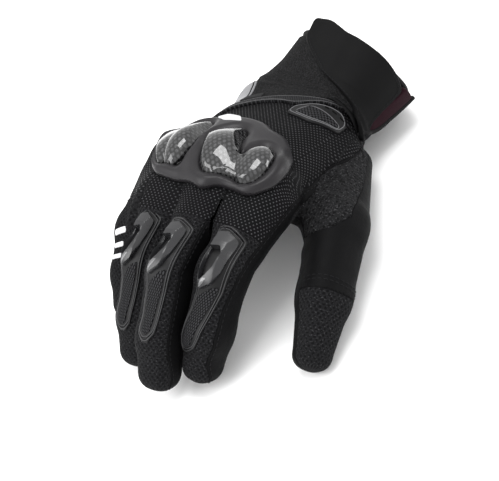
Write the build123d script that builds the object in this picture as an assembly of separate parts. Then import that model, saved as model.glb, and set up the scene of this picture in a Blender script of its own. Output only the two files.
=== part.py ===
from build123d import *
import os
from math import asin, cos, radians, sin

# Riding glove for a right hand, size L, standing as a resting hand stands: on the heel of the palm
# and the tips of the ring finger, little finger and thumb. Millimetres, +Z up, fingers towards -Y,
# thumb towards +X.
#
# Everything is built in the hand's own frame and moved into the row frame at the very end.
# Hand frame: origin at the middle knuckle's joint, +X to the thumb side, +Y from the knuckles to
# the wrist, +Z out of the back of the hand.

# ---- row frame ------------------------------------------------------------------------------
HAND_PITCH = 23.0  # the back of the hand falls this steeply from the knuckles to the wrist
KNUCKLE_HEIGHT = 53.0  # middle knuckle's joint above the surface the glove rests on
KNUCKLE_X = -19.61
KNUCKLE_Y = -18.62
ROW = Location((KNUCKLE_X, KNUCKLE_Y, KNUCKLE_HEIGHT), (-HAND_PITCH, 0, 0))

# ---- cloth and clearances -------------------------------------------------------------------
WALL = 1.2  # fabric of a finger stall
HAND_WALL = 1.6  # fabric of the hand and cuff
LINING_WALL = 0.7
FIT_GAP = 0.3  # between a moving piece and its neighbour
SEAM_GAP = 0.15  # between two sewn pieces whose curved faces would otherwise touch
BIG = 400.0  # longer than the glove, for cutting tools

# ---- digits: knuckle joint, stall root along the finger, bone lengths, bends, spread, radii ---
FINGERS = {
    "index": dict(knuckle=(34.3, 3.0, -1.5), root=18.0, bones=(46, 25, 15), bends=(36, 25, 13), spread=-2.5),
    "middle": dict(knuckle=(11.5, 0.0, 0.0), root=18.0, bones=(51, 28, 15), bends=(31, 32, 14), spread=1.5),
    "ring": dict(knuckle=(-11.5, 4.0, -1.5), root=18.0, bones=(48, 26, 15), bends=(37, 29, 12), spread=0.0),
    "little": dict(knuckle=(-31.0, 12.0, -4.0), root=15.0, bones=(37, 21, 14), bends=(40, 26, 12), spread=-3.0),
}
FINGER_SCALE = {"index": 1.0, "middle": 1.0, "ring": 0.98, "little": 0.92}
ROOT_R, MID_R = 10.2, 11.0  # outer radii of the root stall at its two ends
TIP_START_R, TIP_KNEE_R, TIP_END_R = 9.5, 9.2, 8.6  # outer radii of the tip stall
SIDE = 9.5  # half the width of the root stall between its flat side walls

THUMB_POINTS = ((40, 59, -14), (57, 20, -25), (67, -9, -44), (72, -28, -60.1))
THUMB_BACK = Vector(0.8, -0.1, 0.55)  # the way the thumb's nail side faces
THUMB_BASE_R, THUMB_ROOT_R = (12.5, 13.6), (12.0, 12.0)
THUMB_TIP_R = (10.5, 8.6)

# ---- hand: along Y, centre X, half width, top Z, bottom Z ------------------------------------
HAND_SECTIONS = (
    (-17, 3.5, 38.5, -1, -24),
    (0, 3, 40.5, 12, -24),
    (22, 2.5, 42.0, 14, -26),
    (46, 2.5, 40.5, 14, -27),
    (70, 2, 37.0, 17, -25.5),
)
FRONT_EDGE = ((-60, 4.0), (-22, -16.9), (60, -16.9))
SIDE_SEAM_Z = -8.0  # where the back panel meets the palm panel
WRIST_Y = 70.0

# ---- cuff: bends up and towards the thumb from the wrist ------------------------------------
CUFF_YAW, CUFF_LIFT, CUFF_LENGTH = 21.0, 40.0, 50.0
# share of the length, half width, half height, and how far the section sits towards the back
CUFF_SECTIONS = ((0.0, 37.0, 21.25, 0.75), (0.35, 35.0, 18.2, 3.4), (0.7, 34.5, 20.2, 2.3), (1.0, 35.5, 22.4, 1.5))


# ---- helpers --------------------------------------------------------------------------------
def bone_plane(origin, along, across):
    """A bone's frame: Z along the bone, X across it (its bending axis), Y out of its back."""
    return Plane(origin=origin, x_dir=across, z_dir=along)


def capsule(r0, r1, length):
    """Two balls, at the origin and up Z, with the cone that touches both."""
    lean = asin((r0 - r1) / length)
    low = (r0 * cos(lean), r0 * sin(lean))
    high = (r1 * cos(lean), length + r1 * sin(lean))
    half_low = (lean - radians(90)) / 2
    half_high = (lean + radians(90)) / 2
    outline = [
        ThreePointArc((0, -r0), (r0 * cos(half_low), r0 * sin(half_low)), low),
        Line(low, high),
        ThreePointArc(high, (r1 * cos(half_high), length + r1 * sin(half_high)), (0, length + r1)),
        Line((0, length + r1), (0, -r0)),
    ]
    return revolve(Plane.XZ * make_face(outline), Axis.Z)


def tube(r0, r1, length, wall):
    return capsule(r0, r1, length) - capsule(r0 - wall, r1 - wall, length)


def slab(low, high):
    """A box given by its two corners."""
    size = [h - l for l, h in zip(low, high)]
    middle = [(h + l) / 2 for l, h in zip(low, high)]
    return Pos(*middle) * Box(*size)


def prism(points, low, high):
    """A closed outline in XY, run from low to high along Z."""
    return Pos(0, 0, low) * extrude(make_face(Polyline(*points, close=True)), high - low)


def back_half(part, plane):
    return part & (plane.location * slab((-BIG, 0, -BIG), (BIG, BIG, BIG)))


def palm_half(part, plane):
    return part & (plane.location * slab((-BIG, -BIG, -BIG), (BIG, 0, BIG)))


# ---- hand and cuff as layers ----------------------------------------------------------------
def hand_form(out=0.0):
    """The hand's outer form, grown by out on every side but its two ends."""
    faces = []
    for y, centre, half, top, bottom in HAND_SECTIONS:
        width, height = 2 * (half + out), top - bottom + 2 * out
        plane = Plane(origin=(centre, y, (top + bottom) / 2), x_dir=(1, 0, 0), z_dir=(0, 1, 0))
        faces.append(plane * RectangleRounded(width, height, 0.46 * height))
    return loft(faces)


def hand_layer(inner, outer):
    return hand_form(outer) - hand_form(inner)


def cuff_plane(share):
    """The cuff's cross-section plane at a share of its length: Z runs along the cuff, Y is its back."""
    steps = 20
    centre = Vector(2, WRIST_Y, -5)
    turned = Plane.XZ
    for step in range(steps + 1):
        at = min(1.0, 1.5 * share * step / steps)
        along = Vector(0, 1, 0).rotate(Axis.X, CUFF_LIFT * at).rotate(Axis.Z, -CUFF_YAW * at)
        across = Vector(1, 0, 0).rotate(Axis.Z, -CUFF_YAW * at)
        turned = Plane(origin=centre, x_dir=-across, z_dir=along)
        if step < steps:
            centre = centre + along * (CUFF_LENGTH * share / steps)
    return turned


def cuff_form(out=0.0):
    faces = []
    for section in CUFF_SECTIONS:
        faces.append(cuff_plane(section[0]) * cuff_outline(section, out))
    return loft(faces)


def cuff_outline(section, out):
    width, height = 2 * (section[1] + out), 2 * (section[2] + out)
    return Pos(0, section[3]) * RectangleRounded(width, height, 0.46 * height)


def cuff_layer(inner, outer):
    return cuff_form(outer) - cuff_form(inner)


# ---- digit skeletons ------------------------------------------------------------------------
def finger_planes(name):
    """Planes at the stall's root, middle joint, end joint and tip centre, and the lengths between."""
    data = FINGERS[name]
    lean = radians(data["spread"])
    flat = Vector(sin(lean), -cos(lean), 0)
    across = Vector(cos(lean), sin(lean), 0)
    up = Vector(0, 0, 1)
    point = Vector(*data["knuckle"])
    bend = 0.0
    planes = []
    for index, (length, turn) in enumerate(zip(data["bones"], data["bends"])):
        bend += radians(turn)
        along = flat * cos(bend) - up * sin(bend)
        start = point + along * data["root"] if index == 0 else point
        planes.append(bone_plane(start, along, across))
        point = point + along * length
    lengths = [data["bones"][0] - data["root"], data["bones"][1], data["bones"][2]]
    return planes, lengths


def thumb_planes():
    points = [Vector(*p) for p in THUMB_POINTS]
    planes, lengths = [], []
    for start, end in zip(points, points[1:]):
        along = (end - start).normalized()
        planes.append(bone_plane(start, along, THUMB_BACK.cross(along)))
        lengths.append((end - start).length)
    return planes, lengths


# ---- finger stalls --------------------------------------------------------------------------
MOUTH = 4.0  # how far behind a joint's centre the ball end of a stall is cut open
LIP = 1.0  # how far past the joint's centre the stall covers the back
PALM_CUT = 9.0  # how far short of it the stall stops on the palm side


def joint_cut(length, radius):
    """What is cut off a stall's far end, so that the next stall can bend: a slanting half space."""
    slope = (LIP + PALM_CUT) / (2 * radius)
    middle = length + (LIP - PALM_CUT) / 2
    low, high = middle - 2 * radius * slope, middle + 2 * radius * slope
    outline = [(-2 * radius, low), (2 * radius, high), (2 * radius, length + 60), (-2 * radius, length + 60)]
    face = make_face(Polyline(*outline, close=True))
    return Plane(origin=(-BIG / 2, 0, 0), x_dir=(0, 1, 0), z_dir=(1, 0, 0)) * extrude(face, BIG)


def flat_sided(part, half):
    return part & slab((-half, -BIG, -BIG), (half, BIG, BIG))


def behind(distance):
    """Everything further back than this from a bone's start."""
    return slab((-BIG, -BIG, -BIG), (BIG, BIG, -distance))


def finger_stall(name):
    """Root and tip stalls of one finger as (part, plane) pairs."""
    k = FINGER_SCALE[name]
    planes, lengths = finger_planes(name)
    side, tip_side = k * SIDE, k * SIDE - WALL - FIT_GAP
    outer = flat_sided(capsule(k * ROOT_R, k * MID_R, lengths[0]), side)
    inner = flat_sided(capsule(k * ROOT_R - WALL, k * MID_R - WALL, lengths[0]), side - WALL)
    root = planes[0].location * (outer - inner - behind(MOUTH) - joint_cut(lengths[0], k * MID_R))
    radii = (k * MID_R - WALL - FIT_GAP, k * TIP_KNEE_R, k * TIP_END_R)
    forms = []
    for wall in (0, WALL):
        form = planes[1].location * flat_sided(capsule(radii[0] - wall, radii[1] - wall, lengths[1]), tip_side - wall)
        tip = flat_sided(capsule(radii[1] - wall, radii[2] - wall, lengths[2]), tip_side - wall)
        forms.append(form + planes[2].location * tip)
    tip = forms[0] - forms[1] - planes[1].location * behind(MOUTH)
    return (root, planes[0]), (tip, planes[1])


# ---- finger guards: a hard block on the root stall, a ribbed tail on the tip stall -------------
BLOCK_START, BLOCK_OVERHANG = 9.0, 2.0
BLOCK_THICK, TAIL_THICK = 3.4, 1.8
BLOCK_HALF, NECK_HALF, TAIL_HALF = 8.0, 6.2, 3.2
GUARD_SKEW = 3.5  # the thumb-side corner of the block starts this much further down the finger
TAIL_START = 5.0
WINDOW = (2.4, 6.0)  # half width and half length of the slot in the block


def guard_block(name):
    k = FINGER_SCALE[name]
    planes, lengths = finger_planes(name)
    end = lengths[0] + BLOCK_OVERHANG
    shell = capsule(k * ROOT_R + FIT_GAP + BLOCK_THICK, k * MID_R + FIT_GAP + BLOCK_THICK, lengths[0])
    shell -= capsule(k * ROOT_R + FIT_GAP, k * MID_R + FIT_GAP, lengths[0])
    outline = [(-BLOCK_HALF, BLOCK_START), (BLOCK_HALF, BLOCK_START + GUARD_SKEW), (NECK_HALF, end), (-NECK_HALF, end)]
    stand = Plane(origin=(0, 0, 0), x_dir=(1, 0, 0), z_dir=(0, -1, 0))
    block = shell & (stand.location * prism(outline, -BIG, 0))
    centre = (BLOCK_START + end) / 2 + 2
    half, reach = WINDOW
    block -= slab((-half, 0, centre - reach), (half, BIG, centre + reach))
    return planes[0].location * block


def guard_tail(name):
    k = FINGER_SCALE[name]
    planes, lengths = finger_planes(name)
    shell = capsule(k * TIP_START_R + FIT_GAP + TAIL_THICK, k * TIP_KNEE_R + FIT_GAP + TAIL_THICK, lengths[1])
    shell -= capsule(k * TIP_START_R + FIT_GAP, k * TIP_KNEE_R + FIT_GAP, lengths[1])
    end = lengths[1] - 1
    outline = [(-NECK_HALF, TAIL_START), (NECK_HALF, TAIL_START), (TAIL_HALF, end), (-TAIL_HALF, end)]
    stand = Plane(origin=(0, 0, 0), x_dir=(1, 0, 0), z_dir=(0, -1, 0))
    return planes[1].location * (shell & (stand.location * prism(outline, -BIG, 0)))


# ---- thumb ----------------------------------------------------------------------------------
def thumb_parts():
    """Base (sewn to the hand), root stall and tip stall of the thumb as (part, plane) pairs."""
    planes, lengths = thumb_planes()
    base = tube(*THUMB_BASE_R, lengths[0], WALL) - joint_cut(lengths[0], THUMB_BASE_R[1])
    base = planes[0].location * base - hand_form(SEAM_GAP) - cuff_form(SEAM_GAP)
    base = base.solids().sort_by(SortBy.VOLUME)[-1]
    root = tube(*THUMB_ROOT_R, lengths[1], WALL)
    root = planes[1].location * (root - behind(MOUTH) - joint_cut(lengths[1], THUMB_ROOT_R[1]))
    tip = tube(*THUMB_TIP_R, lengths[2], WALL) - behind(MOUTH)
    return (base, planes[0]), (root, planes[1]), (planes[2].location * tip, planes[2])


# ---- hand panels ----------------------------------------------------------------------------
FINGER_SWEEP = (-15, 0, 15, 30, 45)  # a stall's swing about its root, towards the palm


def finger_mouths():
    """The room the four root stalls need to sit and bend in, cut off the front of the hand."""
    tool = None
    for name in FINGERS:
        k = FINGER_SCALE[name]
        planes, lengths = finger_planes(name)
        stall = flat_sided(capsule(k * ROOT_R + 0.5, k * MID_R + 0.5, lengths[0]), k * SIDE + 0.5)
        for angle in FINGER_SWEEP:
            cut = planes[0].location * Rotation(angle, 0, 0) * stall
            tool = cut if tool is None else tool + cut
    return tool


def thumb_mouth():
    planes, lengths = thumb_planes()
    return planes[0].location * capsule(THUMB_BASE_R[0] - WALL, THUMB_BASE_R[1] - WALL, lengths[0])


def in_front(setback):
    """Everything in front of the hand's front edge, which slants back to the little finger."""
    edge = [(x, y + setback) for x, y in FRONT_EDGE]
    return prism([(60, -60), (-60, -60)] + edge, -BIG, BIG)


def hand_panels():
    """Back panel, palm panel, the web that closes the hand between the fingers, and the lining."""
    mouths = finger_mouths()
    shell = hand_layer(-HAND_WALL, 0) - mouths - thumb_mouth() - in_front(0)
    back = shell & slab((-BIG, -BIG, SIDE_SEAM_Z), (BIG, BIG, BIG))
    palm = shell & slab((-BIG, -BIG, -BIG), (BIG, BIG, SIDE_SEAM_Z))
    inset = HAND_WALL + SEAM_GAP
    web = (hand_form(-inset) & in_front(HAND_WALL)) - in_front(0) - mouths
    lining = hand_layer(-inset - LINING_WALL, -inset) - in_front(3) - mouths - thumb_mouth()
    return back, palm, web.solids().sort_by(SortBy.VOLUME)[-1], lining


def above_hand(inner, outer, outline):
    """A plate of the given outline that follows the back of the hand, between two offsets from it."""
    return hand_layer(inner, outer) & prism(outline, 0, 60)


def below_hand(inner, outer, outline):
    return hand_layer(inner, outer) & prism(outline, -60, -12)


# ---- knuckle armour -------------------------------------------------------------------------
FOAM_THICK, GUARD_THICK = 1.8, 3.4
GUARD_OUTLINE = (
    ((-36.5, 28), (-36, 4), (-30, -1), (-19, -5), (-11, -9), (0, -12), (11, -13), (23, -12), (34, -11))
    + ((42, -5), (46, 4), (45, 13), (38, 22), (24, 27), (8, 31), (-4, 31), (-18, 28), (-30, 31))
)
# each dome: centre, then half sizes; it pokes out of the guard over one knuckle
DOMES = {
    "index": ((34.3, 5.5, 12.0), (8.4, 10.5, 9.5)),
    "middle": ((11.5, 2.0, 12.5), (10.2, 12.5, 10.5)),
    "ring": ((-11.5, 5.5, 12.0), (9.8, 11.5, 9.5)),
    "little": ((-29.5, 14.0, 9.5), (7.6, 10.0, 9.0)),
}
THUMB_SIDE_BED = (
    ((0.5, 3), (3, 12), (11, 16), (19, 13), (23, 5.5), (27, 13), (34, 17), (41, 13))
    + ((43, 4), (40, -5), (33, -8), (24, -8.5), (12, -11.5), (4, -8))
)
LITTLE_SIDE_BED = (
    ((-1.5, 5), (-3, 13), (-11, 18), (-20, 17), (-25, 23), (-31, 23.5), (-35, 14))
    + ((-34, 7), (-28, 2.5), (-20, -3), (-12, -7), (-4, -3))
)
DOME_WALL = 1.6
BED_GAP = 0.5  # slot between a dome shell and the guard's opening


def dome(name, out):
    """The egg-shaped swelling over one knuckle, grown by out."""
    centre, half = DOMES[name]
    return Pos(*centre) * scale(Sphere(1), by=tuple(h + out for h in half))


def grown(points, out):
    """An outline pushed out from its middle by out on every side."""
    outline = make_face(Polyline(*points, close=True))
    return offset(outline, amount=out, kind=Kind.INTERSECTION)


def knuckle_armour():
    """Foam, guard, and the two domed shells that sit in the guard's openings."""
    base = SEAM_GAP + FOAM_THICK + SEAM_GAP
    foam_outline = [(0.93 * x, 9 + 0.9 * (y - 9)) for x, y in GUARD_OUTLINE]
    foam = above_hand(SEAM_GAP, SEAM_GAP + FOAM_THICK, foam_outline)
    guard = above_hand(base, base + GUARD_THICK, GUARD_OUTLINE)
    under = hand_form(base + DOME_WALL)
    shells = []
    for pair, bed in ((("index", "middle"), THUMB_SIDE_BED), (("ring", "little"), LITTLE_SIDE_BED)):
        hollow = dome(pair[0], -DOME_WALL) + dome(pair[1], -DOME_WALL)
        bump = (dome(pair[0], 0) + dome(pair[1], 0) - under) & prism(bed, 0, 60)
        shell = above_hand(base, base + DOME_WALL, bed) + bump - hollow
        shells.append(shell.solids().sort_by(SortBy.VOLUME)[-1])
        guard -= extrude(grown(bed, BED_GAP), 60)
    return foam, guard, shells


# ---- badge, trim, palm pads -----------------------------------------------------------------
BADGE = ((17, 50), (33, 43), (38, 48), (36, 58), (27, 63), (15, 62))
BADGE_PLATE = ((19, 52), (31, 47), (33, 50), (20, 60))
EMBLEM = ((-3, 20), (5, 20), (8, 27), (-6, 27))
HEEL_PAD = ((-30, 40), (-33, 55), (-24, 68), (8, 69), (12, 58), (2, 44), (-14, 38))
GRIP_PATCH = ((-30, 17), (-34, 32), (-14, 33), (10, 36), (24, 27), (26, 9), (0, 5), (-18, 8))


def trim_band():
    band = hand_layer(SEAM_GAP, 2.0) & slab((-BIG, WRIST_Y - 6, -4), (BIG, WRIST_Y - 0.5, BIG))
    badge = prism([(1.04 * x, y) for x, y in BADGE], -60, 60)
    planes, lengths = thumb_planes()
    thumb = planes[0].location * capsule(*(r + SEAM_GAP for r in THUMB_BASE_R), lengths[0])
    return band - badge - thumb


def off_floor(part):
    """The part, cut flat where the glove rests on it."""
    return part - ROW.inverse() * slab((-BIG, -BIG, -BIG), (BIG, BIG, 0))


# ---- cuff pieces ----------------------------------------------------------------------------
def cuff_frame():
    """The cuff's own frame: X across to the thumb side, Y along it to the open end, Z out of its back."""
    end = cuff_plane(1.0)
    return Plane(origin=end.origin, x_dir=-end.x_dir, z_dir=end.y_dir)


STRAP = ((60, -26), (60, 0), (37, 1), (10, 3), (-10, 4.5), (-19, 4), (-21, -1), (2, -20), (20, -36), (36, -32))
STRAP_THICK, HOOK_THICK, LOOP_THICK = 1.7, 0.6, 0.8
HINGE_X, HINGE_Z = 38.0, -3.0


def cuff_pieces():
    frame = cuff_frame().location
    long_cuff = cuff_form(-HAND_WALL)
    shell = cuff_form(0) - long_cuff
    lining = cuff_layer(-HAND_WALL - SEAM_GAP - LINING_WALL, -HAND_WALL - SEAM_GAP)
    loop = cuff_layer(SEAM_GAP, SEAM_GAP + LOOP_THICK)
    loop &= frame * slab((-30, -41, 0), (31, -3, 60))
    white = cuff_layer(SEAM_GAP, SEAM_GAP + LOOP_THICK)
    white &= frame * slab((-60, -40, -10), (-30.5, -8, 60))
    end = cuff_plane(1.0)
    ring = cuff_outline(CUFF_SECTIONS[-1], 1.2) - cuff_outline(CUFF_SECTIONS[-1], -2.6)
    binding = end * Pos(0, 0, 0.1) * extrude(ring, 3.0)
    return shell, lining, loop, white, binding


def strap_pieces():
    frame = cuff_frame()
    cut = frame.location * (prism(STRAP, HINGE_Z, 80) & slab((-BIG, -BIG, HINGE_Z), (BIG, BIG, BIG)))
    base = SEAM_GAP + LOOP_THICK + FIT_GAP
    strap = cuff_long_layer(base + HOOK_THICK, base + HOOK_THICK + STRAP_THICK) & cut
    hook_zone = frame.location * prism(((18, -28), (18, -4), (-14, 1), (-14, -6)), HINGE_Z, 80)
    hook = cuff_long_layer(base, base + HOOK_THICK - 0.05) & hook_zone
    return strap, hook


def cuff_long_layer(inner, outer):
    """A cuff layer that also reaches past the cuff's open end, for the strap that overhangs it."""
    end = cuff_plane(1.0)
    stubs = [end * extrude(cuff_outline(CUFF_SECTIONS[-1], out), 12) for out in (inner, outer)]
    return (cuff_form(outer) + stubs[1]) - (cuff_form(inner) + stubs[0])


# ---- writing --------------------------------------------------------------------------------
def build():
    nodes = {}
    back, palm, web, lining = hand_panels()
    nodes.update(back_panel=back, palm_panel=palm, finger_webs=web, hand_lining=lining)
    foam, guard, shells = knuckle_armour()
    nodes.update(knuckle_foam=foam, knuckle_guard=guard)
    nodes.update(knuckle_shell_thumb_side=shells[0], knuckle_shell_little_side=shells[1])
    nodes["wrist_trim"] = trim_band()
    nodes["wrist_badge"] = above_hand(SEAM_GAP, 2.6, BADGE)
    nodes["wrist_badge_plate"] = above_hand(2.6 + SEAM_GAP, 3.4, BADGE_PLATE)
    guard_top = SEAM_GAP + FOAM_THICK + SEAM_GAP + GUARD_THICK
    nodes["guard_emblem"] = above_hand(guard_top + SEAM_GAP, guard_top + 0.9, EMBLEM)
    nodes["heel_pad"] = off_floor(below_hand(SEAM_GAP, 3.4, HEEL_PAD))
    nodes["grip_patch"] = below_hand(SEAM_GAP, 1.1, GRIP_PATCH)
    shell, cuff_lining, loop, white, binding = cuff_pieces()
    nodes.update(cuff_shell=off_floor(shell), cuff_lining=cuff_lining, loop_panel=loop)
    nodes.update(cuff_side_patch=white, cuff_binding=binding)
    nodes["wrist_strap"], nodes["strap_hook_patch"] = strap_pieces()
    for name in FINGERS:
        (root, root_plane), (tip, tip_plane) = finger_stall(name)
        nodes[f"{name}_root_back"] = back_half(root, root_plane)
        nodes[f"{name}_root_palm"] = palm_half(root, root_plane)
        nodes[f"{name}_tip_back"] = back_half(tip, tip_plane)
        nodes[f"{name}_tip_palm"] = palm_half(tip, tip_plane)
        if name != "little":
            nodes[f"{name}_guard_block"] = guard_block(name)
            nodes[f"{name}_guard_tail"] = guard_tail(name)
    labels = ("thumb_base", "thumb_root", "thumb_tip")
    for label, (part, plane) in zip(labels, thumb_parts()):
        nodes[f"{label}_back"] = back_half(part, plane)
        nodes[f"{label}_palm"] = palm_half(part, plane)
    return nodes


if __name__ == "__main__":
    os.makedirs("parts", exist_ok=True)
    for node, part in build().items():
        export_step(ROW * part, f"parts/{node}.step")
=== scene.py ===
import math

import bpy
import numpy as np
import openvdb
from mathutils import Matrix, Vector


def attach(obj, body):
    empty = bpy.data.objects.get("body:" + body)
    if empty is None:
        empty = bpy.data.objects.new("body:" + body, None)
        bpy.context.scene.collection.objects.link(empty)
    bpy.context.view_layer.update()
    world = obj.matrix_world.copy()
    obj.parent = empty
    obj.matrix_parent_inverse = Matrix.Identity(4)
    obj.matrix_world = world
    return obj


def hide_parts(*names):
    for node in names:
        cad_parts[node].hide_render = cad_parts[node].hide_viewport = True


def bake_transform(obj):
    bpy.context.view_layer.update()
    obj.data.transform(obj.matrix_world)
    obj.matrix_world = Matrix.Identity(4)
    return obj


# Right-hand riding glove. Everything is shaped in the hand's own frame, in millimetres (origin at the middle
# knuckle, +X to the thumb, +Y to the wrist, +Z out of the back of the hand), and moved to the row frame when
# a piece is made.

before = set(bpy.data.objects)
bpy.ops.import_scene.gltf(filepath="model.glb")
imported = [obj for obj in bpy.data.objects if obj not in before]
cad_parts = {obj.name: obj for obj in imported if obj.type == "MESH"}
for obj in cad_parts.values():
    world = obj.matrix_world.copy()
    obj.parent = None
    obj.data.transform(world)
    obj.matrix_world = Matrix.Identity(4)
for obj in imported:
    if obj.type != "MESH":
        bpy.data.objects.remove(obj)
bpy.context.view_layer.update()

PITCH = math.radians(23.0)
C, S = math.cos(PITCH), math.sin(PITCH)
TURN = np.array([[1, 0, 0], [0, C, S], [0, -S, C]])
SHIFT = np.array([-19.61, -18.62, 53.0])


def to_row(p):
    """Hand frame, mm, to row frame, m."""
    return (np.asarray(p, float) @ TURN.T + SHIFT) / 1000.0


# ---------------------------------------------------------------- skeleton
# knuckle, bone lengths, bends, spread, radii at knuckle, middle joint, end joint, tip; hinge distance
FINGERS = {
    "index": ((34.3, 3.0, -1.5), (46, 25, 15), (36, 25, 13), -4.0, (11.6, 11.0, 10.2, 9.2), 18),
    "middle": ((11.5, 0.0, 0.0), (52, 28.5, 15), (31, 30, 14), 1.8, (11.8, 11.0, 10.2, 9.2), 18),
    "ring": ((-11.5, 4.0, -1.5), (48, 26, 15), (37, 29, 12), 1.0, (11.4, 10.8, 10.0, 9.0), 18),
    "little": ((-30.5, 12.0, -4.0), (37, 21, 14), (40, 26, 12), -2.0, (10.4, 9.9, 9.2, 8.4), 15),
}
SWAY = {("index", 3): -10.0}  # sideways turn of a bone, counted 1 to 3, in degrees
NAMES = ("index", "middle", "ring", "little")
THUMB = ((40, 59, -14), (57, 20, -25), (67, -9, -44), (72, -28, -60.1))
THUMB_R = (10.5, 13.4, 11.6, 8.4)
THUMB_BACK = np.array([0.8, -0.1, 0.55])
# hand sections: y, centre x, half width, top z, bottom z
HAND = ((-24, 4, 32, -9, -22), (-14, 4, 35, 2, -23), (0, 3.5, 38.5, 11, -24), (22, 3, 40.5, 13, -26),
        (46, 2.5, 39.5, 14, -27), (78, 2, 36.5, 17, -25))
WRIST_Y = 70.0
SQUARENESS = 2.5  # power of a finger's section: 2 is round, more is squarer
APART = 0.2  # half the gap between neighbouring fingers


def unit(v):
    v = np.asarray(v, float)
    return v / np.linalg.norm(v)


def units(v):
    return v / np.maximum(np.linalg.norm(v, axis=-1, keepdims=True), 1e-9)


def step01(x, low, high):
    """0 below low, 1 above high, smooth between."""
    t = np.clip((x - low) / (high - low), 0, 1)
    return t * t * (3 - 2 * t)


def smooth_min(a, b, k):
    h = np.clip(0.5 + 0.5 * (b - a) / k, 0, 1)
    return b + (a - b) * h - k * h * (1 - h)


def smooth_max(a, b, k):
    return -smooth_min(-a, -b, k)


class Digit:
    """A digit's bones, with a direction, a side and a back vector for each, and its smooth middle line."""

    def __init__(self, name, points, radii, side, hinge):
        self.name, self.radii, self.hinge = name, radii, hinge
        self.points = [np.array(p, float) for p in points]
        self.along = [unit(b - a) for a, b in zip(self.points, self.points[1:])]
        self.lengths = [np.linalg.norm(b - a) for a, b in zip(self.points, self.points[1:])]
        self.side = [unit(side - np.dot(side, d) * d) for d in self.along]
        self.back = [np.cross(d, s) for d, s in zip(self.along, self.side)]
        self.starts = np.concatenate([[0], np.cumsum(self.lengths)])
        self.s = np.arange(-20.0, self.starts[-1] + 10, 0.5)
        which = np.clip(np.searchsorted(self.starts[1:3], self.s), 0, 2)
        line = np.array([self.points[k] + (s - self.starts[k]) * self.along[k]
                         for k, s in zip(which, self.s)])
        back = np.array([self.back[k] for k in which])
        kernel = np.exp(-0.5 * (np.arange(-24, 25) / 8.0) ** 2)
        kernel /= kernel.sum()
        padded = lambda x: np.pad(x, 24, mode="reflect", reflect_type="odd")
        wide = lambda a: np.stack([np.convolve(padded(a[:, i]), kernel, "valid") for i in range(3)], 1)
        self.line, self.normal = wide(line), units(wide(back))
        self.across = units(np.array([self.side[k] for k in which]))
        self.radius = np.interp(self.s, self.starts, self.radii)

    def at(self, s):
        pick = lambda a: np.stack([np.interp(s, self.s, a[:, i]) for i in range(3)], 1)
        return pick(self.line), pick(self.normal), pick(self.across)

    def frame_of(self, p):
        """Distance along the digit, sideways and backwards offset, of points near it."""
        best = None
        for k in range(3):
            q = p - self.points[k]
            t = q @ self.along[k]
            low = -1e9 if k == 0 else 0.0
            high = 1e9 if k == 2 else self.lengths[k]
            c = self.points[k] + np.clip(t, low, high)[:, None] * self.along[k]
            d = np.linalg.norm(p - c, axis=1)
            at, away = self.starts[k] + np.clip(t, low, high), p - c
            row = np.stack([d, at, away @ self.side[k], away @ self.back[k]], 1)
            best = row if best is None else np.where((row[:, 0] < best[:, 0])[:, None], row, best)
        return best[:, 1], best[:, 2], best[:, 3]

    def arc(self, p, s):
        """Distance along the digit measured over its bent back, for laying cloth patterns."""
        out = s.copy()
        for k in (0, 1):
            q = p - self.points[k + 1]
            bend = math.acos(np.clip(self.along[k] @ self.along[k + 1], -1, 1))
            turned = np.arctan2(q @ self.along[k], np.maximum(np.abs(q @ self.back[k]), 1.0))
            out = out + self.radii[k + 1] * np.clip(turned, 0, bend)
        return out


def finger(name):
    knuckle, bones, bends, spread, radii, hinge = FINGERS[name]
    lean, bend, points = math.radians(spread), 0.0, [np.array(knuckle, float)]
    side = np.array([math.cos(lean), math.sin(lean), 0.0])
    for length, turn in zip(bones, bends):
        bend += math.radians(turn)
        step = np.array([math.sin(lean) * math.cos(bend), -math.cos(lean) * math.cos(bend), -math.sin(bend)])
        sway = math.radians(SWAY.get((name, len(points)), 0.0))
        points.append(points[-1] + length * (math.cos(sway) * step + math.sin(sway) * side))
    return Digit(name, points, radii, side, hinge)


DIGITS = {name: finger(name) for name in NAMES}
thumb_axis = unit(np.subtract(THUMB[2], THUMB[1]))
DIGITS["thumb"] = Digit("thumb", THUMB, THUMB_R, np.cross(THUMB_BACK, thumb_axis), 0)


# ---------------------------------------------------------------- solid form of the glove
def bone(p, a, b, ra, rb, side=None):
    """Distance to a tapered rod. With side given, its section is a little square."""
    ab = b - a
    t = np.clip(((p - a) @ ab) / (ab @ ab), 0, 1)
    q = p - (a + t[:, None] * ab)
    r = ra + (rb - ra) * t
    if side is None:
        return np.linalg.norm(q, axis=1) - r
    d = unit(ab)
    u = np.abs(q @ side)
    w = np.abs(q @ np.cross(d, side))
    l = np.abs(q @ d)
    return (u**SQUARENESS + w**SQUARENESS + l**SQUARENESS) ** (1 / SQUARENESS) - r


def digit_form(p, g):
    out = None
    for i in range(3):
        d = bone(p, g.points[i], g.points[i + 1], g.radii[i], g.radii[i + 1], g.side[i])
        out = d if out is None else smooth_min(out, d, 3.0)
    return out


def line_x(name, y):
    """Where a finger's middle line lies across the hand, at a given y."""
    knuckle, lean = FINGERS[name][0], math.radians(FINGERS[name][3])
    return knuckle[0] + math.tan(lean) * (knuckle[1] - y)


def finger_form(p, name):
    """One finger, pressed flat where it lies against its neighbours."""
    d = digit_form(p, DIGITS[name])
    k = NAMES.index(name)
    for other, sign in ((k - 1, 1), (k + 1, -1)):
        if 0 <= other < 4:
            middle = (line_x(name, p[:, 1]) + line_x(NAMES[other], p[:, 1])) / 2
            d = smooth_max(d, sign * (p[:, 0] - middle) + APART, 2.5)
    return d


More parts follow.
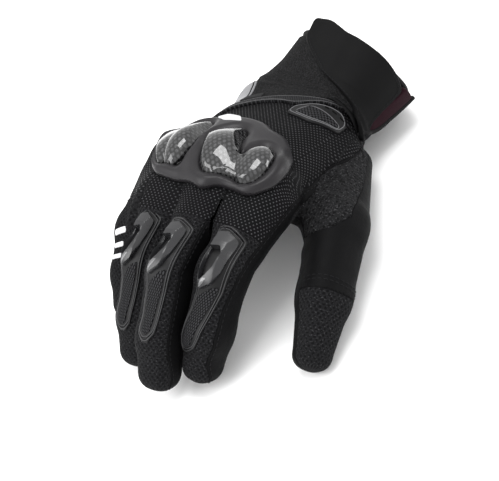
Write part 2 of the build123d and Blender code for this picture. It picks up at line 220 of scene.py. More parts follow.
def hand_form(p):
    rows = np.array(HAND, float)
    y = np.clip(p[:, 1], rows[0, 0], rows[-1, 0])
    cx, hw, top, low = (np.interp(y, rows[:, 0], rows[:, i]) for i in (1, 2, 3, 4))
    x = p[:, 0] - cx
    crown = np.where(x < 0, 0.0062, 0.0045)
    z = p[:, 2] + crown * x * x * np.clip((p[:, 2] + 8) / 12, 0, 1)
    hz = (top - low) / 2
    r = 0.9 * np.minimum(hz, hw)
    qx = np.abs(x) - (hw - r)
    qz = np.abs(z - (top + low) / 2) - (hz - r)
    d = np.hypot(np.maximum(qx, 0), np.maximum(qz, 0)) + np.minimum(np.maximum(qx, qz), 0) - r
    return np.maximum(d, rows[0, 0] - p[:, 1])


def thumb_form(p):
    thumb = digit_form(p, DIGITS["thumb"])
    web = bone(p, np.array([34.0, 22, -16]), np.array([52.0, 22, -24]), 9.0, 9.0)
    return smooth_min(thumb, web, 8.0)


def glove_form(p, only=None):
    """The whole glove, or the hand with just one of its fingers."""
    d = None
    for name in NAMES if only is None else (only,):
        f = finger_form(p, name)
        d = f if d is None else smooth_min(d, f, 0.6)
    d = smooth_min(d, hand_form(p), 7.0)
    mound = bone(p, np.array([35.5, 0, -9.0]), np.array([33.0, -20, -20.0]), 12.0, 10.0)
    if only in (None, "index"):
        d = smooth_min(d, mound, 5.0)
    if only is None:
        d = smooth_min(d, thumb_form(p), 7.0)
    return d


def gradient(form, p):
    g = np.stack([form(p + 0.3 * e) - form(p - 0.3 * e) for e in np.eye(3)], 1)
    return units(g)


def mesh_form(form, low, high, voxel):
    """Triangles of the zero level of a form inside a box."""
    n = [int((h - l) / voxel) + 1 for l, h in zip(low, high)]
    axes = [l + voxel * np.arange(k) for l, k in zip(low, n)]
    yy, zz = np.meshgrid(axes[1], axes[2], indexing="ij")
    grid = np.empty(n, np.float32)
    for i, x in enumerate(axes[0]):
        pts = np.stack([np.full(yy.size, x), yy.ravel(), zz.ravel()], 1)
        grid[i] = form(pts).reshape(yy.shape)
    vdb = openvdb.FloatGrid(background=5.0)
    vdb.copyFromArray(grid)
    points, quads = vdb.convertToQuads(isovalue=0.0)
    v = points.astype(float) * voxel + np.array(low, float)
    q = quads.astype(int)
    for _ in range(2):
        v -= gradient(form, v) * np.clip(form(v), -1, 1)[:, None]
    t = np.concatenate([q[:, [0, 1, 2]], q[:, [0, 2, 3]]])
    n = np.cross(v[t[:, 1]] - v[t[:, 0]], v[t[:, 2]] - v[t[:, 0]])
    if np.mean(np.einsum("ij,ij->i", n, gradient(form, v[t].mean(1)))) < 0:
        t = t[:, ::-1]
    return v, t


# ---------------------------------------------------------------- cutting tools for meshes
class Skin:
    """Triangles with fields (a number or a row per vertex), which can be cut along a field's level lines."""

    def __init__(self, v, t, **fields):
        self.v, self.t, self.f = np.asarray(v, float), np.asarray(t, int), fields

    def cut(self, name, *levels):
        for level in levels:
            g = self.f[name] - level
            g = np.where(np.abs(g) < 1e-4, 1e-4, g)
            up = g > 0
            signs = up[self.t]
            count = signs.sum(1)
            whole = (count == 0) | (count == 3)
            c, s = self.t[~whole], signs[~whole]
            if not len(c):
                continue
            lone = np.where(s.sum(1) == 1, s.argmax(1), (~s).argmax(1))
            row = np.arange(len(c))
            a, b, d = c[row, lone], c[row, (lone + 1) % 3], c[row, (lone + 2) % 3]
            edges = np.sort(np.concatenate([np.stack([a, b], 1), np.stack([a, d], 1)]), 1)
            key, back = np.unique(edges, axis=0, return_inverse=True)
            back = back.ravel()
            w = g[key[:, 0]] / (g[key[:, 0]] - g[key[:, 1]])
            p, q = len(self.v) + back[: len(c)], len(self.v) + back[len(c):]
            mix = lambda x: np.concatenate([x, (x[key[:, 0]].T * (1 - w) + x[key[:, 1]].T * w).T])
            self.v = mix(self.v)
            self.f = {k: mix(x) for k, x in self.f.items()}
            new = np.concatenate([np.stack([a, p, q], 1), np.stack([p, b, d], 1), np.stack([p, d, q], 1)])
            self.t = np.concatenate([self.t[whole], new])
        return self

    def at_faces(self, name):
        return self.f[name][self.t].mean(1)

    def on_level(self, name, level):
        return np.abs(self.f[name] - level) < 2e-3

    def lines(self, name, level, keep):
        """Chained level lines of a field that was cut there, as lists of vertex numbers."""
        on = self.on_level(name, level)
        e = np.concatenate([self.t[:, [0, 1]], self.t[:, [1, 2]], self.t[:, [2, 0]]])
        e = np.unique(np.sort(e[on[e].all(1)], 1), axis=0)
        return chains(e[keep[e].all(1)])


def chains(edges):
    """Edges as vertex pairs, put end to end into lines."""
    link = {}
    for a, b in edges.tolist():
        link.setdefault(a, []).append(b)
        link.setdefault(b, []).append(a)
    out, seen = [], set()
    starts = [n for n in link if len(link[n]) == 1] + list(link)
    for n in starts:
        if n in seen:
            continue
        path = [n]
        seen.add(n)
        while True:
            ahead = [m for m in link[path[-1]] if m not in seen]
            if not ahead:
                break
            path.append(ahead[0])
            seen.add(ahead[0])
        if len(path) > 3:
            if len(path) > 8 and path[0] in link[path[-1]]:
                path.append(path[0])
            out.append(path)
    return out


def vertex_normals(v, t):
    n = np.cross(v[t[:, 1]] - v[t[:, 0]], v[t[:, 2]] - v[t[:, 0]])
    out = np.zeros_like(v)
    for i in range(3):
        np.add.at(out, t[:, i], n)
    return out / np.maximum(np.linalg.norm(out, axis=1, keepdims=True), 1e-12)


def resample(points, pitch, normals=None):
    """A line divided evenly, after a light smoothing."""
    p = np.asarray(points, float)
    closed = np.linalg.norm(p[0] - p[-1]) < 1e-6
    for _ in range(3):
        q = p.copy()
        q[1:-1] = (p[:-2] + 2 * p[1:-1] + p[2:]) / 4
        if closed:
            q[0] = q[-1] = (p[-2] + 2 * p[0] + p[1]) / 4
        p = q
    s = np.concatenate([[0], np.cumsum(np.linalg.norm(np.diff(p, axis=0), axis=1))])
    n = max(2, int(round(s[-1] / pitch)))
    at = np.linspace(0, s[-1], n + 1)
    out = np.stack([np.interp(at, s, p[:, i]) for i in range(3)], 1)
    if normals is None:
        return out
    m = np.stack([np.interp(at, s, np.asarray(normals)[:, i]) for i in range(3)], 1)
    return out, m / np.maximum(np.linalg.norm(m, axis=1, keepdims=True), 1e-9)


# ---------------------------------------------------------------- meshes to objects
def join(parts):
    """Several (vertices, faces) as one."""
    v, f, n = [], [], 0
    for pv, pf in parts:
        v.append(np.asarray(pv, float))
        f.extend([tuple(int(i) + n for i in face) for face in pf])
        n += len(pv)
    return np.concatenate(v), f


def make(name, v, faces, material, ride="hand", blend=None, uv=None, normals=None, smooth=True):
    """A piece from hand-frame millimetres. It rides on a body; given a blend across a joint, it is left in place on no
    body.
    """
    used = np.unique(np.concatenate([np.asarray(f) for f in faces]))
    number = np.full(len(v), -1)
    number[used] = np.arange(len(used))
    mesh = bpy.data.meshes.new(name)
    rows = to_row(np.asarray(v)[used])
    rows[:, 2] = np.maximum(rows[:, 2], 0.0)  # soft tips and the heel flatten where they rest on the floor
    mesh.from_pydata(rows.tolist(), [], [[int(number[i]) for i in f] for f in faces])
    mesh.update()
    if smooth:
        mesh.shade_smooth()
    if uv is not None:
        layer = mesh.uv_layers.new(name="cloth")
        loops = np.empty(len(mesh.loops), int)
        mesh.loops.foreach_get("vertex_index", loops)
        layer.data.foreach_set("uv", np.asarray(uv)[used][loops].ravel().astype(np.float32))
    o = bpy.data.objects.new(name, mesh)
    bpy.context.collection.objects.link(o)
    mesh.materials.append(material)
    if normals is not None:
        mesh.normals_split_custom_set_from_vertices((np.asarray(normals)[used] @ TURN.T).tolist())
    if blend:
        a, b, start, end = blend
        tuple(to_row(start))
        tuple(to_row(end))
        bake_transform(o)
    else:
        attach(o, ride)
    return o


def tube(points, normals, radius, sides=8, lift=0.0):
    """A cord laid along a line on a surface."""
    p, n = np.asarray(points, float), np.asarray(normals, float)
    d = np.gradient(p, axis=0)
    d /= np.maximum(np.linalg.norm(d, axis=1, keepdims=True), 1e-9)
    side = np.cross(d, n)
    side /= np.maximum(np.linalg.norm(side, axis=1, keepdims=True), 1e-9)
    up = np.cross(side, d)
    a = np.linspace(0, 2 * np.pi, sides, endpoint=False)
    turn = np.cos(a)[:, None] * side[:, None] + np.sin(a)[:, None] * up[:, None]
    ring = p[:, None] + lift * up[:, None] + radius * turn
    v = ring.reshape(-1, 3)
    f = []
    m = len(p)
    for i in range(m - 1):
        for j in range(sides):
            k = (j + 1) % sides
            f.append((i * sides + j, i * sides + k, (i + 1) * sides + k, (i + 1) * sides + j))
    f.append(tuple(range(sides))[::-1])
    f.append(tuple((m - 1) * sides + j for j in range(sides)))
    return v, f


def stitches(points, normals, pitch=2.6, length=1.8, width=0.42, lift=0.1):
    """Separate thread stitches along a line on a surface."""
    p, n = resample(points, pitch, normals)
    parts = []
    for a, b, m in zip(p[:-1], p[1:], n[:-1]):
        d = b - a
        if np.linalg.norm(d) < 0.5 * pitch:
            continue
        d = unit(d)
        side = unit(np.cross(d, m))
        up = np.cross(side, d)
        c = (a + b) / 2 + lift * up
        rows = []
        for t, k in ((-0.5, 0.35), (-0.36, 0.95), (0, 1.0), (0.36, 0.95), (0.5, 0.35)):
            bow = 0.16 * (1 - (2 * t) ** 2)
            for ang in np.arange(6) * math.pi / 3:
                turn = math.cos(ang) * side + 0.8 * math.sin(ang) * up
                rows.append(c + t * length * d + k * width * turn * 0.5 + bow * up)
        v = np.array(rows)
        f = [(i * 6 + j, i * 6 + (j + 1) % 6, (i + 1) * 6 + (j + 1) % 6, (i + 1) * 6 + j)
             for i in range(4) for j in range(6)]
        f += [tuple(range(6))[::-1], tuple(24 + j for j in range(6))]
        parts.append((v, f))
    return parts


# ---------------------------------------------------------------- plates: a flat outline laid on a curved surface
def rounded(points, n=5):
    """A smooth loop through the points (Catmull-Rom)."""
    p = np.asarray(points, float)
    out = []
    for i in range(len(p)):
        a, b, c, d = (p[(i + j) % len(p)] for j in (-1, 0, 1, 2))
        for t in np.linspace(0, 1, n, endpoint=False):
            square, cube = 2 * a - 5 * b + 4 * c - d, 3 * b - a - 3 * c + d
            out.append(0.5 * (2 * b + (c - a) * t + square * t * t + cube * t**3))
    return np.array(out)


def softened(points, r=1.2, n=5):
    """A polygon with its corners rounded to about r."""
    p = np.asarray(points, float)
    out = []
    for i in range(len(p)):
        a, b, c = p[i - 1], p[i], p[(i + 1) % len(p)]
        la, lc = np.linalg.norm(a - b), np.linalg.norm(c - b)
        e, f = b + (a - b) * min(r / la, 0.45), b + (c - b) * min(r / lc, 0.45)
        for t in np.linspace(0, 1, n):
            out.append((1 - t) ** 2 * e + 2 * t * (1 - t) * b + t * t * f)
    return np.array(out)


def inside(p, loop):
    """Signed distance to a closed outline: positive inside."""
    a, b = loop, np.roll(loop, -1, axis=0)
    best, cross = np.full(len(p), 1e9), np.zeros(len(p), bool)
    for s, e in zip(a, b):
        d = e - s
        if d @ d < 1e-12:
            continue
        t = np.clip(((p - s) @ d) / (d @ d), 0, 1)
        best = np.minimum(best, np.linalg.norm(p - s - t[:, None] * d, axis=1))
        if s[1] != e[1]:
            hit = (s[1] > p[:, 1]) != (e[1] > p[:, 1])
            cross ^= hit & (p[:, 0] < (e[0] - s[0]) * (p[:, 1] - s[1]) / (e[1] - s[1]) + s[0])
    return np.where(cross, best, -best)


def plate(outline, place, height, step=0.6, holes=(), levels=(0.25, 0.7, 1.3, 2.1), base=0.0):
    """A closed plate: the outline in (u, v), raised to height(u, v, d) above the surface place(u, v, h) gives.

    d is the distance in from the nearest edge; levels are the distances at which the mesh gets edges.
    """
    low, high = outline.min(0) - step, outline.max(0) + step
    nu, nv = (int((h - l) / step) + 2 for l, h in zip(low, high))
    u, w = np.meshgrid(low[0] + step * np.arange(nu), low[1] + step * np.arange(nv), indexing="ij")
    p = np.stack([u.ravel(), w.ravel(), np.zeros(u.size)], 1)
    i, j = np.meshgrid(np.arange(nu - 1), np.arange(nv - 1), indexing="ij")
    a = (i * nv + j).ravel()
    t = np.concatenate([np.stack([a, a + nv, a + nv + 1], 1), np.stack([a, a + nv + 1, a + 1], 1)])
    d = inside(p[:, :2], outline)
    for hole in holes:
        d = np.minimum(d, -inside(p[:, :2], hole))
    skin = Skin(p, t, d=d)
    skin.cut("d", 0.0)
    skin.t = skin.t[skin.at_faces("d") > 0]
    skin.cut("d", *levels)
    u, w, t, n = skin.v[:, 0], skin.v[:, 1], skin.t, len(skin.v)
    top, low = place(u, w, height(u, w, np.maximum(skin.f["d"], 0))), place(u, w, np.full(n, base))
    edges = np.concatenate([t[:, [0, 1]], t[:, [1, 2]], t[:, [2, 0]]])
    sides = dict.fromkeys(map(tuple, edges.tolist()))
    faces = [tuple(x) for x in t.tolist()] + [(x + n, z + n, y + n) for x, y, z in t.tolist()]
    faces += [(y, x, x + n, y + n) for x, y in sides if (y, x) not in sides]
    first = np.cross(top[t[0, 1]] - top[t[0, 0]], top[t[0, 2]] - top[t[0, 0]])
    if first @ (top[t[0, 0]] - low[t[0, 0]]) < 0:
        faces = [f[::-1] for f in faces]
    return np.concatenate([top, low]), faces, np.concatenate([skin.v[:, :2]] * 2)


def edge_line(outline, place, height, close=True):
    """The outline itself as points and outward-from-surface directions on the surface."""
    loop = np.concatenate([outline, outline[:1]]) if close else outline
    flat = np.concatenate([loop, np.zeros((len(loop), 1))], 1)
    p = resample(flat, 1.0)[:, :2]
    h = np.full(len(p), float(height))
    a, b = place(p[:, 0], p[:, 1], h), place(p[:, 0], p[:, 1], h + 1)
    return a, (b - a) / np.linalg.norm(b - a, axis=1, keepdims=True)


def offset_loop(loop, out):
    """A loop moved out (or in, if negative) by a distance."""
    d = np.roll(loop, -1, axis=0) - np.roll(loop, 1, axis=0)
    n = np.stack([d[:, 1], -d[:, 0]], 1) / np.maximum(np.linalg.norm(d, axis=1, keepdims=True), 1e-9)
    area = np.sum(loop[:, 0] * np.roll(loop[:, 1], -1) - np.roll(loop[:, 0], -1) * loop[:, 1])
    return loop + n * out * (1 if area > 0 else -1)


def round_edge(d, reach, height):
    """A quarter-round rise over a distance in from an edge."""
    return height * np.sqrt(np.clip(1 - (1 - np.clip(d / reach, 0, 1)) ** 2, 0, 1))


def domed(high, reach, rise):
    """The height of a plate with a rounded edge."""
    return lambda u, w, d: high + round_edge(d, reach, rise)


def stands_for(o, node=None, slot=None):
    """Hides the CAD nodes a piece replaces. The slot is not used."""
    nodes = (node,) if isinstance(node, str) else node
    if nodes:
        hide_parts(*nodes)
    return o


def lay(name, cloth, outline, place, height, step=0.6, node=None, slot=None, woven=False,
        holes=(), levels=(0.25, 0.7, 1.3, 2.1), base=0.0, **how):
    """A plate laid on a surface, as a piece. Woven ones carry cloth coordinates."""
    v, faces, uv = plate(outline, place, height, step, holes, levels, base)
    return stands_for(make(name, v, faces, M[cloth], uv=uv if woven else None, **how), node, slot)


def trace(name, cloth, loops, place, radius, sides=6, close=True, **how):
    """Thin cords along (outline, height above the surface) pairs, as a piece."""
    v, faces = join([tube(*edge_line(loop, place, h, close), radius, sides) for loop, h in loops])
    return make(name, v, faces, M[cloth], **how)


def stitch(name, cloth, outline, place, height, pitch, length, width, lift, **how):
    """Stitches along an outline, as a piece."""
    v, faces = join(stitches(*edge_line(outline, place, height), pitch, length, width, lift))
    return make(name, v, faces, M[cloth], **how)


# ---------------------------------------------------------------- materials
class Nodes:
    """Shorthand for building a procedural material."""

    def __init__(self, name, colour, rough, coords="object", shine=0.05):
        self.m = bpy.data.materials.new(name)
        self.m.use_nodes = True
        self.t = self.m.node_tree
        self.b = self.t.nodes["Principled BSDF"]
        self.b.inputs["Base Color"].default_value = (*colour, 1)
        self.b.inputs["Roughness"].default_value = rough
        self.b.inputs["Specular IOR Level"].default_value = shine
        self.height = None
        if coords == "cloth":
            n = self.t.nodes.new("ShaderNodeUVMap")
            n.uv_map = "cloth"
            self.at = n.outputs[0]
        else:
            n = self.t.nodes.new("ShaderNodeTexCoord")
            self.at = self.op("VectorMath", "SCALE", n.outputs["Object"], scale=1000.0)

    def put(self, socket, value):
        if hasattr(value, "is_linked"):
            self.t.links.new(value, socket)
        else:
            socket.default_value = value

    def op(self, kind, operation, a, b=None, c=None, scale=None):
        n = self.t.nodes.new(f"ShaderNode{kind}")
        n.operation = operation
        for i, x in enumerate((a, b, c)):
            if x is not None:
                self.put(n.inputs[i], x)
        if scale is not None:
            n.inputs["Scale"].default_value = scale
        return n.outputs[0]

    def math(self, operation, a, b=None, c=None):
        return self.op("Math", operation, a, b, c)

    def xyz(self, vector):
        n = self.t.nodes.new("ShaderNodeSeparateXYZ")
        self.t.links.new(vector, n.inputs[0])
        return n.outputs[0], n.outputs[1], n.outputs[2]

    def noise(self, scale, detail=3.0):
        n = self.t.nodes.new("ShaderNodeTexNoise")
        n.inputs["Scale"].default_value = scale
        n.inputs["Detail"].default_value = detail
        self.t.links.new(self.at, n.inputs["Vector"])
        return n.outputs[0]

    def cells(self, scale, random=1.0):
        n = self.t.nodes.new("ShaderNodeTexVoronoi")
        n.inputs["Scale"].default_value = scale
        n.inputs["Randomness"].default_value = random
        self.t.links.new(self.at, n.inputs["Vector"])
        return n.outputs["Distance"]

    def ramp(self, x, low, high, a=0.0, b=1.0):
        n = self.t.nodes.new("ShaderNodeMapRange")
        n.interpolation_type = "SMOOTHSTEP"
        self.put(n.inputs["Value"], x)
        for key, value in (("From Min", low), ("From Max", high), ("To Min", a), ("To Max", b)):
            n.inputs[key].default_value = value
        return n.outputs[0]

    def mix(self, factor, a, b):
        """Mixes two values or sockets as colours."""
        n = self.t.nodes.new("ShaderNodeMix")
        n.data_type = "RGBA"
        self.put(n.inputs[0], factor)
        for socket, colour in ((n.inputs[6], a), (n.inputs[7], b)):
            self.put(socket, colour if hasattr(colour, "is_linked") else (*colour, 1))
        return n.outputs[2]

    def dots(self, pitch):
        """Distance to the nearest point of a staggered lattice, in units of its pitch."""
        u, v, _ = self.xyz(self.at)
        best = None
        for shift in (0.0, 0.5):
            du, dv = (self.math("SUBTRACT", self.math("FRACT", self.math("ADD", self.math("DIVIDE", x, size), shift)),
                                0.5) for x, size in ((u, pitch), (v, pitch * 1.3)))
            tall = self.math("MULTIPLY", self.math("MULTIPLY", dv, dv), 1.69)
            d = self.math("SQRT", self.math("ADD", self.math("MULTIPLY", du, du), tall))
            best = d if best is None else self.math("MINIMUM", best, d)
        return best

    def bump(self, height, depth, strength=1.0):
        n = self.t.nodes.new("ShaderNodeBump")
        n.inputs["Strength"].default_value = strength
        n.inputs["Distance"].default_value = depth / 1000.0
        self.t.links.new(height, n.inputs["Height"])
        if self.height is not None:
            self.t.links.new(self.height, n.inputs["Normal"])
        self.height = n.outputs[0]
        self.t.links.new(self.height, self.b.inputs["Normal"])

    def set(self, **values):
        for key, value in values.items():
            self.put(self.b.inputs[key.replace("_", " ")], value)


def leather(name="leather", colour=(0.0036, 0.0036, 0.0039), rough=0.6):
    n = Nodes(name, colour, rough)
    patch = n.noise(0.12, 2.0)
    n.set(Base_Color=n.mix(patch, [0.75 * c for c in colour], [1.25 * c for c in colour]))
    n.set(Roughness=n.ramp(patch, 0.3, 0.7, rough - 0.05, rough + 0.06))
    n.bump(n.cells(1.4), 0.12, 0.5)
    n.bump(n.noise(0.35, 4.0), 0.5, 0.35)
    return n.m


def dotted():
    ground, dot = (0.0034, 0.0034, 0.0038), (0.055, 0.055, 0.058)
    n = Nodes("dotted_fabric", ground, 0.75, "cloth")
    on = n.ramp(n.dots(1.9), 0.21, 0.11)
    wear = n.noise(0.06, 2.0)
    n.set(Base_Color=n.mix(n.math("MULTIPLY", on, n.ramp(wear, 0.25, 0.75, 0.55, 1.0)), ground, dot))
    n.set(Roughness=n.mix(on, (0.8,) * 3, (0.38,) * 3))
    n.bump(on, 0.25, 0.6)
    n.bump(n.noise(2.2, 3.0), 0.15, 0.4)
    n.set(Sheen_Weight=0.01, Sheen_Roughness=0.5)
    return n.m


def air_mesh(name, ground, thread, pitch, speck, coords="cloth"):
    n = Nodes(name, ground, 0.85, coords)
    if coords == "cloth":
        hole = n.ramp(n.dots(pitch), 0.2, 0.34)
    else:
        hole = n.ramp(n.cells(1.0 / pitch, random=0.4), 0.25, 0.55)
    fuzz = n.noise(3.2, 4.0)
    fleck = n.ramp(n.noise(1.4, 2.0), 0.56, 0.72)
    base = n.mix(n.math("MULTIPLY", hole, fuzz), ground, thread)
    n.set(Base_Color=n.mix(n.math("MULTIPLY", fleck, speck), base, (0.075, 0.075, 0.078)))
    n.bump(hole, 0.35, 0.7)
    n.bump(fuzz, 0.2, 0.5)
    n.set(Sheen_Weight=0.012, Sheen_Roughness=0.6)
    return n.m


def pile():
    colour = (0.005, 0.005, 0.0054)
    n = Nodes("loop_pile", colour, 0.95)
    fuzz = n.noise(1.9, 6.0)
    n.set(Base_Color=n.mix(n.ramp(fuzz, 0.42, 0.68), [0.35 * c for c in colour], (0.02, 0.02, 0.021)))
    n.bump(fuzz, 0.9, 0.9)
    n.set(Sheen_Weight=0.02, Sheen_Roughness=0.7)
    return n.m


def moulded(name, colour, rough, grain=0.05, coat=0.0, shine=0.12):
    n = Nodes(name, colour, rough)
    cloud = n.noise(0.09, 3.0)
    n.set(Base_Color=n.mix(cloud, [0.85 * c for c in colour], [1.15 * c for c in colour]))
    n.set(Roughness=n.ramp(cloud, 0.3, 0.7, rough - 0.04, rough + 0.05))
    n.bump(n.noise(5.0, 2.0), grain, 0.5)
    n.set(Coat_Weight=coat, Coat_Roughness=0.15, Specular_IOR_Level=shine)
    return n.m


def carbon():
    n = Nodes("carbon_shell", (0.03, 0.03, 0.03), 0.32, "cloth")
    u, v, _ = n.xyz(n.at)
    a, b = (n.math("MULTIPLY", n.math(way, u, v), 1 / 4.6) for way in ("ADD", "SUBTRACT"))
    x, y = (n.ramp(n.math("ABSOLUTE", n.math("SUBTRACT", n.math("FRACT", t), 0.5)), 0.2, 0.3) for t in (a, b))
    check = n.math("ABSOLUTE", n.math("SUBTRACT", x, y))
    bulge = n.dots(2.3)
    fibre = n.math("SINE", n.math("MULTIPLY", u, 26.0))
    light = n.math("MULTIPLY", n.ramp(bulge, 0.4, 0.16), n.math("MULTIPLY_ADD", check, 0.5, 0.5))
    n.set(Base_Color=n.mix(light, (0.0018, 0.0018, 0.0022), (0.052, 0.052, 0.054)))
    n.set(Roughness=n.mix(check, (0.5,) * 3, (0.3,) * 3), Metallic=0.35)
    n.bump(n.math("MULTIPLY", fibre, 0.5), 0.02, 0.3)
    n.set(Coat_Weight=1.0, Coat_Roughness=0.035, Coat_IOR=1.6)
    return n.m


def embossed(name, base, rough, pitch, outer, inner, low, depth, strength):
    """Rubber with a raised grain between two distances from the points of a lattice."""
    n = Nodes(name, base, rough, "cloth")
    grain = n.ramp(n.dots(pitch), outer, inner)
    n.set(Base_Color=n.mix(grain, low, (0.03, 0.03, 0.032)))
    n.bump(grain, depth, strength)
    return n.m


def thread(name="thread", colour=(0.012, 0.012, 0.013)):
    n = Nodes(name, colour, 0.6)
    n.bump(n.noise(6.0, 2.0), 0.05, 0.4)
    return n.m


def lining():
    colour = (0.016, 0.005, 0.008)
    n = Nodes("lining", colour, 0.85)
    n.set(Base_Color=n.mix(n.noise(1.2, 4.0), [0.6 * c for c in colour], [1.3 * c for c in colour]))
    n.bump(n.noise(2.5, 3.0), 0.3, 0.6)
    n.set(Sheen_Weight=0.04)
    return n.m


M = {
    "leather": leather(),
    "suede": leather("suede", (0.009, 0.009, 0.0094), 0.85),
    "pad": leather("pad_leather", (0.009, 0.009, 0.0095), 0.45),
    "dotted": dotted(),
    "mesh": air_mesh("air_mesh", (0.0024, 0.0024, 0.0027), (0.012, 0.012, 0.013), 2.1, 0.25),
    "thumb_mesh": air_mesh("thumb_mesh", (0.003, 0.003, 0.0033), (0.016, 0.016, 0.017), 1.9, 0.6, "object"),
    "tip_mesh": air_mesh("tip_mesh", (0.003, 0.003, 0.0034), (0.014, 0.014, 0.0152), 2.2, 0.45),
    "guard": moulded("guard_moulding", (0.0125, 0.0115, 0.013), 0.4, 0.04, 0.0, 0.25),
    "block": moulded("finger_guard_moulding", (0.016, 0.016, 0.0175), 0.28, 0.03, 0.1, 0.45),
    "rim": moulded("finger_guard_rim", (0.0042, 0.0042, 0.0047), 0.45, 0.05, 0.0, 0.2),
    # the finger guards' raised lip is coloured light grey as a painted highlight: it stands in for the shine on the
    # lower part of the guard
    "lip_highlight": moulded("finger_guard_lip_painted_highlight", (0.09, 0.09, 0.093), 0.25, 0.02, 0.6, 0.6),
    "cuff": moulded("cuff_cloth", (0.0036, 0.0036, 0.0038), 0.8, 0.3),
    "carbon": carbon(),
    "scaled": embossed(
        "scaled_rubber", (0.028, 0.028, 0.03), 0.5, 1.7, 0.42, 0.26, (0.0022, 0.0022, 0.0026), 0.6, 0.9),
    "ribbed": embossed(
        "ribbed_rubber", (0.035, 0.035, 0.037), 0.55, 1.35, 0.36, 0.2, (0.006, 0.006, 0.0065), 0.4, 0.8),
    "edge": moulded("moulded_edge_line", (0.038, 0.038, 0.04), 0.4, 0.02, 0.0, 0.4),
    "pile": pile(),
    "strap": moulded("strap_neoprene", (0.0038, 0.0038, 0.004), 0.62, 0.08, 0.0, 0.07),
    "binding": moulded("binding_tape", (0.0065, 0.0062, 0.0065), 0.7, 0.15),
    "lining": lining(),
    "foam": moulded("foam", (0.0025, 0.0025, 0.0025), 0.9, 0.3),
    "thread": thread(),
    "pale_thread": thread("pale_thread", (0.13, 0.13, 0.135)),
    "pale": moulded("pale_print", (0.55, 0.55, 0.56), 0.5, 0.03),
    "white": moulded("reflective_print", (0.2, 0.2, 0.207), 0.4, 0.03),
    "webbing": moulded("webbing", (0.014, 0.014, 0.0145), 0.75, 0.2),
}


# ---------------------------------------------------------------- the sewn skin of the hand, fingers and thumb
SLEEVE = 11.0  # length of the part of a finger's base that bends at the knuckle
GROOVE, GROOVE_DEPTH = 0.45, 0.55
# height of the side seam over a finger's middle line, as a share of its radius, along the finger's length
SEAM_AT = ((0, -0.3), (0.18, -0.06), (0.35, 0.16), (0.5, 0.3), (0.62, 0.48), (0.72, 0.6), (0.85, 0.72),
           (0.97, 0.72), (1.08, 0.2))
# the same on the sides where two fingers lie together
INNER_SEAM_AT = ((0, 0.2), (0.15, 0.55), (0.3, 0.72), (0.5, 0.66), (0.65, 0.6), (0.9, 0.56), (1.02, 0.2))
COLLAR = ((-36, 46), (-23, 52), (-14, 55.7), (-2, 60.5), (11, 63.5), (25, 68), (33, 75), (45, 82))  # wrist seam
GAPS = tuple((f"gap{k}", (0.0,)) for k in range(3))  # the lines between neighbouring fingers
SEAM = (-GROOVE, 0.0, GROOVE)  # a seam and the edges of its groove
THUMB = DIGITS["thumb"]


def bend_start(name):
    return FINGERS[name][5] - 1.0


def nearest_finger(p):
    return np.stack([np.abs(p[:, 0] - line_x(n, p[:, 1])) for n in NAMES], 1).argmin(1)


def past_start(p):
    """The nearest finger of each point, and how far the point is past the start of its bending part."""
    which, s = nearest_finger(p), np.zeros(len(p))
    for k, name in enumerate(NAMES):
        m = which == k
        if m.any():
            s[m] = DIGITS[name].frame_of(p[m])[0] - bend_start(name)
    return which, s


